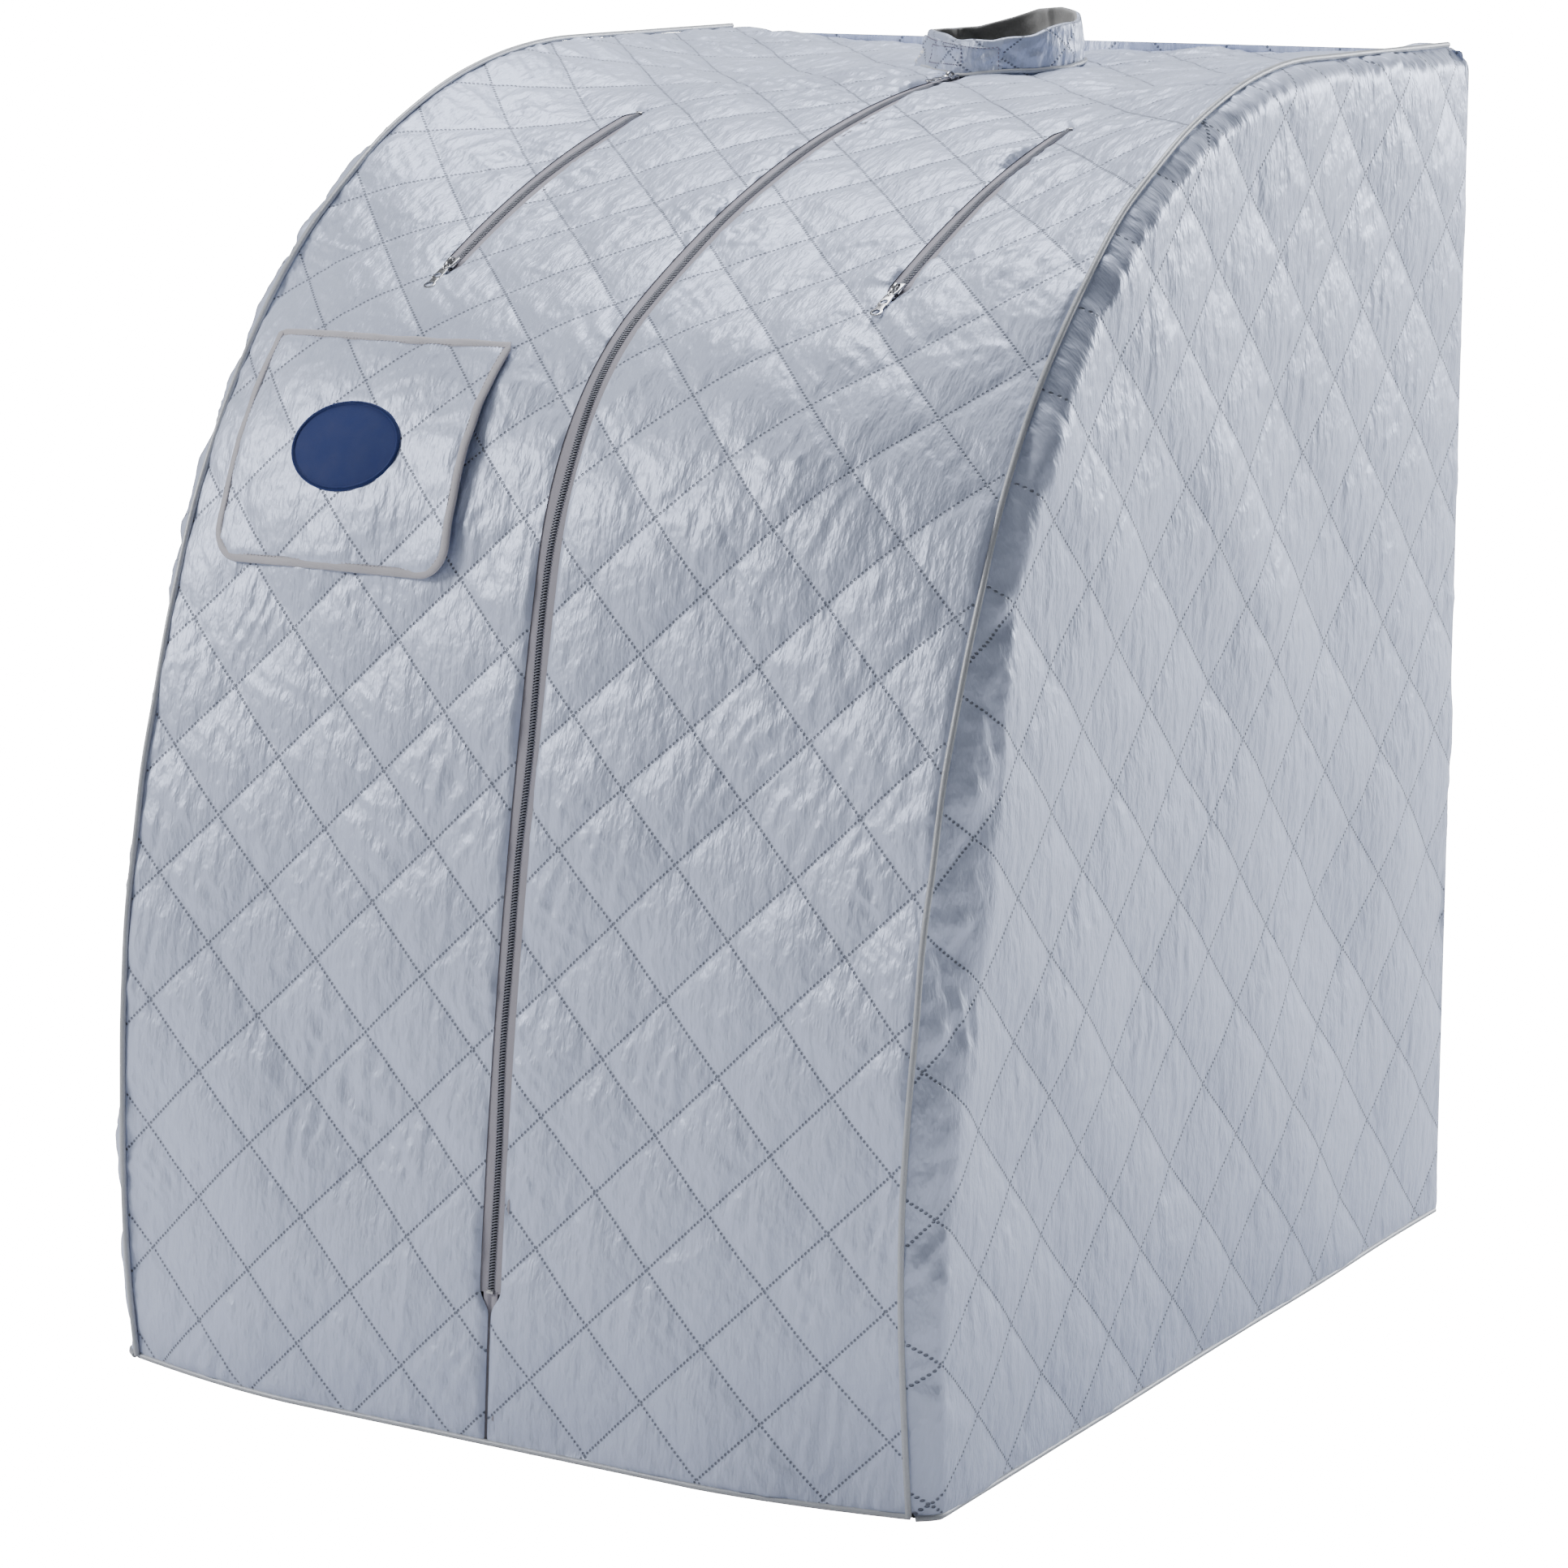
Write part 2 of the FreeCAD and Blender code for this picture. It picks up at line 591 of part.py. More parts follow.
def build():
    os.makedirs("parts", exist_ok=True)
    save("front_cover_right", front_cover(1, SIDE_IN))
    save("front_cover_left", front_cover(-1, SIDE_IN - SEAM_GAP))
    save("front_seam", front_gusset())
    save("roof_seam", back_gusset())
    save("back_panel", back_panel())
    save("floor_panel", floor_panel())
    save("side_panel_right", side_panel())
    save("side_panel_left", mirrored(side_panel()).cut(inlet_hole()))
    save("piping_right", side_piping())
    save("piping_left", mirrored(side_piping()))
    save("base_piping", base_piping())
    save("steam_inlet", steam_inlet())

    top = MID.at_y(MAIN_TOP_Y + 11.0)
    low, high = MID.at_y(ARM_LOW_Y), MID.at_y(ARM_HIGH_Y)
    zips = {
        "main_zip": (0.0, MAIN_FOOT, top, MID.at_y(MAIN_TOP_Y)),
        "arm_zip_right": (ARM_X, low, high, low + 12.0),
        "arm_zip_left": (-ARM_X, low, high, low + 12.0),
    }
    for name, (x, s0, s1, s_rest) in zips.items():
        save(name + "_tapes", zip_tapes(x, s0, s1))
        save(name + "_coils", zip_coils(x, s0 + 3.0, s1 - 3.0))
        save(name + "_stops", zip_stops(x, s0 + 3.0, s1 - 3.0))
        save(name + "_slider", placed(slider_body(), x, s_rest))
        save(name + "_pull", placed(slider_pull(), x, s_rest))
        y, z, _angle = MID.at(s_rest)
        print(f"   {name} slider at y {y:.3f} z {z:.3f};"
              f" pull axis y {placed(Part.Vertex(V(0, PULL_U, PULL_N)), x, s_rest).Point.y:.4f}"
              f" z {placed(Part.Vertex(V(0, PULL_U, PULL_N)), x, s_rest).Point.z:.4f}")
    print("   roof arc centre", MID.parts[2][3])

    save("collar_band", collar_band())
    save("collar_tab", collar_tab())
    save("pocket_panel", pocket_panel())
    save("pocket_binding", pocket_binding())
    save("pocket_patch", pocket_patch())

    halves = {
        "front_post": straight_tube("front_foot", "arch_joint"),
        "roof_tube": roof_tube(),
        "back_post": straight_tube("back_foot", "back_top"),
        "base_rail": straight_tube("front_foot", "back_foot"),
        "frame_elbows": elbows(),
        "frame_ties": frame_ties(),
        "pivot_brackets": group([bracket(y, z) for y, z in SPREADERS.values()]),
    }
    for name, shape in halves.items():
        save(name + "_right", shape)
        save(name + "_left", mirrored(shape))

    for name, (y, z) in SPREADERS.items():
        save(name + "_bar_right", right_bar(y, z))
        save(name + "_bar_left", left_bar(y, z))
        save(name + "_pin", knuckle_pin(y, z))


build()
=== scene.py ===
"""Looks of a portable steam sauna: quilted cloth over its folding frame.

Lengths are in metres. A roof coordinate (x, s, n) is the distance across from the middle,
the distance up the front and over the roof, and the height above the cloth.
"""

import json
import math

import bpy
import numpy as np
from bpy.props import FloatProperty, FloatVectorProperty, PointerProperty
from mathutils import Matrix, Vector, noise

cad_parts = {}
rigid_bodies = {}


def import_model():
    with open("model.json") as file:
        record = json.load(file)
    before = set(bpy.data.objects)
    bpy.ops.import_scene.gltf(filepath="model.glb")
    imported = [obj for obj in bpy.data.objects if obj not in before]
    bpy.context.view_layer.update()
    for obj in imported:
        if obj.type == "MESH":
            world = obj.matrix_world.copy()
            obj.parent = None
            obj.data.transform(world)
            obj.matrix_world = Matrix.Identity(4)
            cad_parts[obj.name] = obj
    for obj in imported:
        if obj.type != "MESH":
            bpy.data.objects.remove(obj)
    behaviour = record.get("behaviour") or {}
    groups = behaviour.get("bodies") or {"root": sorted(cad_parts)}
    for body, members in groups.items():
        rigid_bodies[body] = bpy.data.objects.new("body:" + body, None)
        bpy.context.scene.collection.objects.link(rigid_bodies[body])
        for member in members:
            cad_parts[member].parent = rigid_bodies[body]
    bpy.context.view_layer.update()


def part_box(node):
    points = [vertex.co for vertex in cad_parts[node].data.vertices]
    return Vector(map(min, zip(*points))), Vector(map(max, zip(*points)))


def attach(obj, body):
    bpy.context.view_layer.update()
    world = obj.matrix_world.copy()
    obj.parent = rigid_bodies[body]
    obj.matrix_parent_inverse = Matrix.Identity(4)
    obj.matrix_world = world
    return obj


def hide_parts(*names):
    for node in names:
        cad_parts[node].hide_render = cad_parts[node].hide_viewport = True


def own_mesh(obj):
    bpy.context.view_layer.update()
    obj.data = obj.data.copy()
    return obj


bl_info = {
    "name": "Portable steam sauna",
    "version": (1, 0, 0),
    "blender": (4, 5, 0),
    "location": "View3D > Sidebar > Sauna",
    "description": "Makes the quilted cabin, its zips, collar and pocket around the folding frame",
    "category": "Object",
}

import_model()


# ---------------------------------------------------------------- places read from the frame

def middle_of(node):
    low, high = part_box(node)
    return (low + high) / 2


FACE_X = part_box("side_panel_right")[1].x          # outer face of the right side panel
BACK_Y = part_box("back_panel")[1].y                # outer face of the back
ARM_X = middle_of("arm_zip_right_tapes").x        # distance of an arm zip from the middle
COLLAR = middle_of("collar_band")
COLLAR_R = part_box("collar_band")[1].x             # outer radius of the collar
START_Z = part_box("front_cover_right")[0].z        # lowest edge of the front cloth
EDGE_X = FACE_X - 0.017                           # where the arch piping is sewn
SLOT = 0.009                                      # half width of the main zip's gap
SLIT = 0.0085                                     # half width of an arm zip's gap
SEAM = 0.0012                                     # half gap of the plain seam below that zip
FOOT_Z = 0.0015                                   # where the side and back cloth start
INLET = middle_of("steam_inlet")
INLET_HOLE = 0.015                                # radius of the hole in the cloth behind it
CORD_R = 0.0023                                   # radius of the piping

# Foot Y, lean in degrees from upright, then (radius, turn) of each arc up to the roof's
# straight run to the back: one line over the side frames, one over the middle.
SIDE_LINE = (-0.416, -8.0, ((1.120, 33.0), (0.560, 39.0), (0.560, 26.0)))
MID_LINE = (-0.441, 3.5, ((3.675, 9.8), (0.259, 46.6), (1.086, 26.2)))
ARC_STEPS = 200                                   # points worked out along each arc
RISING = 0.3                                      # past this distance Y only grows


class RoofLine:
    """A chain of arcs that run on into each other, then a straight run to the back."""

    def __init__(self, line):
        foot, lean, arcs = line
        spots = []
        y, z, angle, run = foot, START_Z, math.radians(lean), 0.0
        for radius, turn in arcs:
            turn = math.radians(turn)
            for k in range(ARC_STEPS):
                a = angle + turn * k / ARC_STEPS
                spots.append((run + radius * turn * k / ARC_STEPS,
                              y + radius * (math.cos(angle) - math.cos(a)),
                              z + radius * (math.sin(a) - math.sin(angle)), a))
            y += radius * (math.cos(angle) - math.cos(angle + turn))
            z += radius * (math.sin(angle + turn) - math.sin(angle))
            angle += turn
            run += radius * turn
        last = (BACK_Y - y) / math.sin(angle)
        spots.append((run, y, z, angle))
        spots.append((run + last, BACK_Y, z + last * math.cos(angle), angle))
        self.s, self.y, self.z, self.a = np.array(spots).T
        self.length = run + last

    def at(self, s, off=0.0):
        """Arrays y, z and lean at distances s along the line, off outside it."""
        y, z, a = (np.interp(s, self.s, values) for values in (self.y, self.z, self.a))
        return y - off * np.cos(a), z + off * np.sin(a), a

    def reach(self, y):
        """Distance along the line where it reaches that Y on its way to the back."""
        rising = self.s > RISING
        return float(np.interp(y, self.y[rising], self.s[rising]))


MID = RoofLine(MID_LINE)
SIDE = RoofLine(SIDE_LINE)


MIDDLE_X = 0.17                                   # half width of the roof's even middle


def side_share(x):
    """0 over the middle of the roof, 1 at the side piping."""
    reach = np.clip((np.abs(x) - MIDDLE_X) / (EDGE_X - MIDDLE_X), 0, 1)
    return reach ** 1.6


def hand_of(side):
    return "right" if side > 0 else "left"


def on_roof(x, s, n=0.0):
    """Points of the front and roof cloth at (x, s), n above it."""
    t = s / MID.length
    my, mz, _lean = MID.at(s, n)
    ey, ez, _lean = SIDE.at(t * SIDE.length, n)
    w = side_share(x)
    return np.stack([x, my * (1 - w) + ey * w, mz * (1 - w) + ez * w], -1)


def wrap(piece):
    """Moves a piece modelled flat, as (x, s, n), on to the roof line."""
    co = vertices_of(piece)
    set_vertices(piece, on_roof(co[:, 0], co[:, 1], co[:, 2]))


# ---------------------------------------------------------------- mesh helpers

def fresh():
    bpy.ops.object.select_all(action="DESELECT")


def vertices_of(piece):
    co = np.empty(len(piece.data.vertices) * 3)
    piece.data.vertices.foreach_get("co", co)
    return co.reshape(-1, 3)


def set_vertices(piece, co):
    piece.data.vertices.foreach_set("co", np.asarray(co, float).ravel())
    piece.data.update()


def make_active(piece):
    fresh()
    piece.select_set(True)
    bpy.context.view_layer.objects.active = piece


def grid(us, vs):
    """Every point of a grid, as two flat arrays."""
    return [a.ravel() for a in np.meshgrid(us, vs, indexing="ij")]


def mesh_piece(name, points, faces, uv=None):
    """A piece from points and faces; uv holds one place in metres for each point."""
    mesh = bpy.data.meshes.new(name)
    faces = faces.tolist() if isinstance(faces, np.ndarray) else faces
    mesh.from_pydata(np.asarray(points).tolist(), [], faces)
    mesh.update()
    if uv is not None:
        layer = mesh.uv_layers.new(name="UVMap")
        corner = np.empty(len(mesh.loops), int)
        mesh.loops.foreach_get("vertex_index", corner)
        layer.data.foreach_set("uv", np.asarray(uv)[corner].ravel())
    piece = bpy.data.objects.new(name, mesh)
    bpy.context.scene.collection.objects.link(piece)
    return piece


def modify(piece, kind, **settings):
    """Adds a modifier with these settings and applies it."""
    make_active(piece)
    bpy.ops.object.modifier_add(type=kind)
    modifier = piece.modifiers[-1]
    for key, value in settings.items():
        setattr(modifier, key, value)
    bpy.ops.object.modifier_apply(modifier=modifier.name)


def subdivide(piece):
    modify(piece, "SUBSURF", levels=1, render_levels=1)


def thicken(piece, thickness):
    """Gives cloth its thickness, inward from its outer face."""
    modify(piece, "SOLIDIFY", thickness=thickness, offset=-1.0)


def smooth(piece, angle=None):
    make_active(piece)
    if angle is None:
        bpy.ops.object.shade_smooth()
    else:
        bpy.ops.object.shade_smooth_by_angle(angle=math.radians(angle))


def joined(name, parts):
    """Parts joined into one piece of that name."""
    fresh()
    for part in parts:
        part.select_set(True)
    bpy.context.view_layer.objects.active = parts[0]
    bpy.ops.object.join()
    parts[0].name = name
    parts[0].data.name = name
    return parts[0]


def primitive(add, name, **settings):
    """Adds a primitive with bpy.ops, with its place and turn put into its mesh."""
    fresh()
    add(**settings)
    piece = bpy.context.object
    piece.name = name
    piece.data.name = name
    bpy.ops.object.transform_apply(location=True, rotation=True, scale=True)
    return piece


def give(piece, body, node):
    """Gives a finished piece its body and the node it stands for."""
    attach(piece, body)
    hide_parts(node)


def hand_over(piece, material, body, node):
    """Gives a finished piece its one material, then its body and node."""
    piece.data.materials.clear()
    piece.data.materials.append(material)
    give(piece, body, node)


def crumple(piece):
    """Gives a cloth piece that reaches both sides, out to edge, its own copy of its mesh."""
    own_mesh(piece)


# ---------------------------------------------------------------- quilted cloth

class Quilt:
    """A diamond lattice of stitch lines: half a diamond's width, and where it starts."""

    def __init__(self, half, phase_p, phase_q):
        self.half, self.phase_p, self.phase_q = half, phase_p, phase_q
        self.origin = (half * (phase_p + phase_q), half * (phase_p - phase_q))

    def turned(self, u, v):
        """Distances across the two families of stitch lines, counted in lines."""
        p = (u + v) / (2 * self.half) - self.phase_p
        q = (u - v) / (2 * self.half) - self.phase_q
        return p, q

    def puff(self, u, v):
        """0 on a stitch line, 1 at the middle of a diamond."""
        p, q = self.turned(u, v)
        return np.sqrt(np.abs(np.sin(np.pi * p) * np.sin(np.pi * q)))

    def stitched(self, u, v, width):
        p, q = self.turned(u, v)
        far = np.minimum(np.abs(p - np.round(p)), np.abs(q - np.round(q)))
        return far * self.half * math.sqrt(2) < width / 2

    def lines(self, low, high, axis, step):
        """Grid lines from low to high that pass through the crossings of the stitching."""
        start = self.origin[axis]
        first = math.ceil((low + 0.4 * step - start) / step)
        last = math.floor((high - 0.4 * step - start) / step)
        return np.array([low, *(start + k * step for k in range(first, last + 1)), high])


RIGHT_QUILT = Quilt(0.0472, -0.08, -0.155)
LEFT_QUILT = Quilt(0.0472, -0.32, -0.23)
SIDE_QUILT = Quilt(0.0505, 0.07, -0.176)
POCKET_QUILT = Quilt(0.0472, -0.11, 0.02)
COLLAR_QUILT = Quilt(0.0290, 0.15, 0.30)

SWAY, SWAY_SIZE = 0.0025, 0.22                    # height and length of hung cloth's waves
UNEVEN = 0.0002                                   # how much a diamond's points differ
RIGHT_SEED, LEFT_SEED = 12, 10                    # random seeds of the two front halves


def waves(u, v, seed, size, count=24):
    """Gentle random waves over the cloth, about 1 high, with lengths of about size."""
    rng = np.random.default_rng(seed)
    total = np.zeros_like(u)
    for _ in range(count):
        heading = rng.uniform(0, 2 * math.pi)
        length = size * rng.uniform(0.6, 1.8)
        shift = rng.uniform(0, 2 * math.pi)
        total += np.sin((u * math.cos(heading) + v * math.sin(heading)) * 2 * math.pi / length
                        + shift)
    return total / math.sqrt(count)


def ridges(u, v, seed, long, short, heading):
    """Sharp ridges like creases in cloth, about 1 high, lying along the heading (radians)."""
    c, s = math.cos(heading), math.sin(heading)
    warp = 0.35 * waves(u, v, seed, 0.11)
    a = (u * c + v * s) / long + warp
    b = (v * c - u * s) / short + warp
    height = np.array([noise.ridged_multi_fractal((p, q, seed * 1.7), 1.0, 2.0, 2, 1.0, 1.6)
                       for p, q in zip(a, b)])
    return np.clip((height - height.mean()) / max(height.std(), 1e-6), -2.2, 2.2)


def share_of(u, v, seed, size):
    """Patches of about size where creases are strong (1) or absent (0)."""
    return np.clip(0.5 + 0.45 * waves(u, v, seed, size), 0, 1)


def uv_of(piece):
    """The UV place of each vertex."""
    mesh = piece.data
    corner = np.empty(len(mesh.loops), int)
    mesh.loops.foreach_get("vertex_index", corner)
    flat = np.empty(len(mesh.loops) * 2)
    mesh.uv_layers[0].data.foreach_get("uv", flat)
    uv = np.zeros((len(mesh.vertices), 2))
    uv[corner] = flat.reshape(-1, 2)
    return uv[:, 0], uv[:, 1]


def crease(piece, quilt, seed, kinds, spare=None):
    """Presses creases into finished cloth; less at its stitches, none at its edges.

    kinds holds (height, long, short, heading, patch size) of each family of creases, and
    height may be one value for each point.
    """
    u, v = uv_of(piece)
    normal = np.empty(len(u) * 3)
    piece.data.vertices.foreach_get("normal", normal)
    total = np.zeros_like(u)
    for k, (height, long, short, heading, patch) in enumerate(kinds):
        high = height(u, v) if callable(height) else height
        total += high * ridges(u, v, seed + k, long, short, heading) * share_of(
            u, v, seed + 10 + k, patch)
    weight = 0.30 + 0.70 * quilt.puff(u, v)
    faces = np.array([list(f.vertices) for f in piece.data.polygons])
    weight[on_edge(faces, len(u))] = 0
    if spare is not None:
        weight[spare(u, v)] = 0
    set_vertices(piece, vertices_of(piece) + normal.reshape(-1, 3) * (total * weight)[:, None])


def grid_faces(nu, nv):
    index = np.arange(nu * nv).reshape(nu, nv)
    return np.stack([index[:-1, :-1], index[1:, :-1], index[1:, 1:], index[:-1, 1:]],
                    -1).reshape(-1, 4)


def ring_faces(rings, around):
    """Faces of a closed tube of so many rings, with so many points around each."""
    index = np.arange(rings * around).reshape(rings, around)
    after, beside = np.roll(index, -1, 0), np.roll(index, -1, 1)
    return np.stack([index, beside, np.roll(after, -1, 1), after], -1).reshape(-1, 4)


def normals_over(surface, u, v):
    """Unit normals of surface(u, v), on the side that u x v points to."""
    d = 1e-4
    along_u = surface(u + d, v) - surface(u - d, v)
    along_v = surface(u, v + d) - surface(u, v - d)
    n = np.cross(along_u, along_v)
    return n / np.maximum(np.linalg.norm(n, axis=-1, keepdims=True), 1e-12)


def set_pins(piece, held):
    group = piece.vertex_groups.new(name="stitched")
    group.add(np.nonzero(held)[0].tolist(), 1.0, "REPLACE")


def spare_shape(piece, across, along):
    """Gives the cloth a rest shape with spare length across X and along the rest.

    across and along are shares for each point; they are added up along the cloth.
    """
    co = vertices_of(piece)
    rest = co.copy()
    rest[:, 0] *= 1 + across
    middle = np.array([0.0, 0.0, 0.5])
    rest[:, 1:] = middle[1:] + (co[:, 1:] - middle[1:]) * (1 + along)[:, None]
    piece.shape_key_add(name="Basis")
    key = piece.shape_key_add(name="spare")
    key.data.foreach_set("co", rest.ravel())
    return key


def billow(piece, growth, pressure, frames=16, stiffness=0.05):
    """Swells the cloth between its stitches with a cloth simulation, then applies it.

    growth is (across, along): the share of spare cloth, a number or one for each point.
    """
    ones = np.ones(len(piece.data.vertices))
    spare = spare_shape(piece, growth[0] * ones, growth[1] * ones)
    make_active(piece)
    bpy.ops.object.modifier_add(type="CLOTH")
    cloth = piece.modifiers[-1]
    settings = cloth.settings
    settings.quality = 5
    settings.mass = 0.3
    settings.tension_stiffness = 15
    settings.compression_stiffness = 15
    settings.shear_stiffness = 5
    settings.bending_stiffness = stiffness
    settings.vertex_group_mass = "stitched"
    settings.pin_stiffness = 1
    settings.rest_shape_key = spare
    settings.use_pressure = True
    settings.uniform_pressure_force = pressure
    settings.effector_weights.gravity = 0
    cloth.collision_settings.use_collision = False
    cloth.collision_settings.use_self_collision = False
    cloth.point_cache.frame_start = 1
    cloth.point_cache.frame_end = frames
    for number in range(1, frames + 1):
        bpy.context.scene.frame_set(number)
    settled = piece.evaluated_get(bpy.context.evaluated_depsgraph_get())
    co = np.empty(len(settled.data.vertices) * 3)
    settled.data.vertices.foreach_get("co", co)
    piece.modifiers.remove(cloth)
    piece.shape_key_clear()
    set_vertices(piece, co)
    bpy.context.scene.frame_set(1)
    piece.vertex_groups.clear()


def quilted_sheet(name, quilt, us, vs, surface, height, seed, inside=None, snap=None,
                  held=None, sway=SWAY):
    """A quilted cloth over surface(u, v), puffed to about height between its stitches.

    inside says which cells are cloth, snap moves a ragged edge on to the true one, and
    held adds to the points that are sewn down.
    """
    nu, nv = len(us), len(vs)
    u, v = grid(us, vs)
    faces = grid_faces(nu, nv)
    if inside is not None:
        cu, cv = u[faces].mean(1), v[faces].mean(1)
        faces = faces[inside(cu, cv)]
        used, faces = np.unique(faces, return_inverse=True)
        faces = faces.reshape(-1, 4)
        u, v = u[used], v[used]
    edge = on_edge(faces, len(u))
    if snap is not None:
        u, v = snap(u, v, edge)
    step = quilt.half / 8
    sewn = quilt.stitched(u, v, step * 0.5) | edge
    if held is not None:
        sewn |= held(u, v)
    rng = np.random.default_rng(seed)
    lift = height * quilt.puff(u, v) + rng.normal(0, UNEVEN, u.shape)
    lift[sewn] = 0
    drift = sway * waves(u, v, seed, SWAY_SIZE) * np.where(edge, 0.0, 1.0)
    points = surface(u, v) + normals_over(surface, u, v) * (lift + drift)[:, None]
    piece = mesh_piece(name, points, faces, np.stack([u, v], -1))
    set_pins(piece, sewn)
    return piece


def on_edge(faces, count):
    """True for each point that lies on an open edge of the faces."""
    sides = np.concatenate([faces[:, [k, (k + 1) % 4]] for k in range(4)])
    sides.sort(axis=1)
    pairs, number = np.unique(sides, axis=0, return_counts=True)
    edge = np.zeros(count, bool)
    edge[pairs[number == 1].ravel()] = True
    return edge


# ---------------------------------------------------------------- material helpers

class Shade:
    """Short-hand for building a node tree."""

    def __init__(self, tree):
        self.tree, self.nodes, self.links = tree, tree.nodes, tree.links

    def add(self, kind, **settings):
        node = self.nodes.new(kind)
        for key, value in settings.items():
            setattr(node, key, value)
        return node

    def join(self, source, target):
        self.links.new(source, target)

    def put(self, socket, value):
        if isinstance(value, bpy.types.NodeSocket):
            self.join(value, socket)
        else:
            socket.default_value = value

    def math(self, operation, a, b=0.0, clamp=False):
        node = self.add("ShaderNodeMath", operation=operation, use_clamp=clamp)
        self.put(node.inputs[0], a)
        self.put(node.inputs[1], b)
        return node.outputs[0]

    def noise(self, vector, scale, detail=3.0, rough=0.5):
        node = self.add("ShaderNodeTexNoise")
        self.join(vector, node.inputs["Vector"])
        node.inputs["Scale"].default_value = scale
        node.inputs["Detail"].default_value = detail
        node.inputs["Roughness"].default_value = rough
        return node.outputs["Fac"]

    def stretched(self, vector, scale):
        node = self.add("ShaderNodeMapping")
        self.join(vector, node.inputs["Vector"])
        node.inputs["Scale"].default_value = scale
        return node.outputs[0]

    def between(self, fac, low, high):
        """Maps 0..1 on to low..high."""
        node = self.add("ShaderNodeMapRange")
        self.join(fac, node.inputs["Value"])
        node.inputs["To Min"].default_value = low
        node.inputs["To Max"].default_value = high
        return node.outputs[0]

    def mix(self, fac, a, b):
        node = self.add("ShaderNodeMix", data_type="RGBA")
        self.put(node.inputs["Factor"], fac)
        self.put(node.inputs["A"], a)
        self.put(node.inputs["B"], b)
        return node.outputs["Result"]

    def bump(self, height, distance, strength=1.0, normal=None):
        node = self.add("ShaderNodeBump")
        self.join(height, node.inputs["Height"])
        node.inputs["Distance"].default_value = distance
        node.inputs["Strength"].default_value = strength
        if normal is not None:
            self.join(normal, node.inputs["Normal"])
        return node.outputs[0]


def node_group(name, inputs, outputs):
    """An empty shader node group with float, vector and colour sockets."""
    tree = bpy.data.node_groups.new(name, "ShaderNodeTree")
    for side, sockets in (("INPUT", inputs), ("OUTPUT", outputs)):
        for label, kind, value in sockets:
            socket = tree.interface.new_socket(label, in_out=side, socket_type="NodeSocket" + kind)
            if value is not None:
                socket.default_value = value
    build = Shade(tree)
    return build, build.add("NodeGroupInput"), build.add("NodeGroupOutput")


def use_group(build, tree, **values):
    node = build.add("ShaderNodeGroup", node_tree=tree)
    for key, value in values.items():
        build.put(node.inputs[key.replace("_", " ")], value)
    return node


def material_of(name, color, roughness, metallic=0.0):
    """A material with its shader; returns it with the builder and the shader node."""
    material = bpy.data.materials.new(name)
    material.use_nodes = True
    build = Shade(material.node_tree)
    shader = material.node_tree.nodes["Principled BSDF"]
    shader.inputs["Base Color"].default_value = (*color, 1)
    shader.inputs["Roughness"].default_value = roughness
    shader.inputs["Metallic"].default_value = metallic
    return material, build, shader


def satin_group():
    """Fine satin weave with slubs: a colour share, a roughness and a height."""
    build, given, result = node_group(
        "satin_weave",
        [("Vector", "Vector", None)],
        [("Shade", "Float", None), ("Gloss", "Float", None), ("Height", "Float", None),
         ("Creases", "Float", None)])
    vector = given.outputs["Vector"]
    slubs = build.noise(build.stretched(vector, (900, 45, 1)), 1.0, 4.0, 0.6)
    threads = build.noise(build.stretched(vector, (2600, 1400, 1)), 1.0, 2.0, 0.5)
    clouds = build.noise(vector, 9.0, 3.0, 0.55)
    fine = build.noise(build.stretched(vector, (95, 38, 1)), 1.0, 3.0, 0.55)
    build.join(fine, result.inputs["Creases"])
    shade = build.math("ADD", build.math("MULTIPLY", slubs, 0.5), build.math("MULTIPLY", clouds, 0.5))
    build.join(shade, result.inputs["Shade"])
    build.join(clouds, result.inputs["Gloss"])
    height = build.math("ADD", build.math("MULTIPLY", slubs, 0.7), build.math("MULTIPLY", threads, 0.3))
    build.join(height, result.inputs["Height"])
    return build.tree


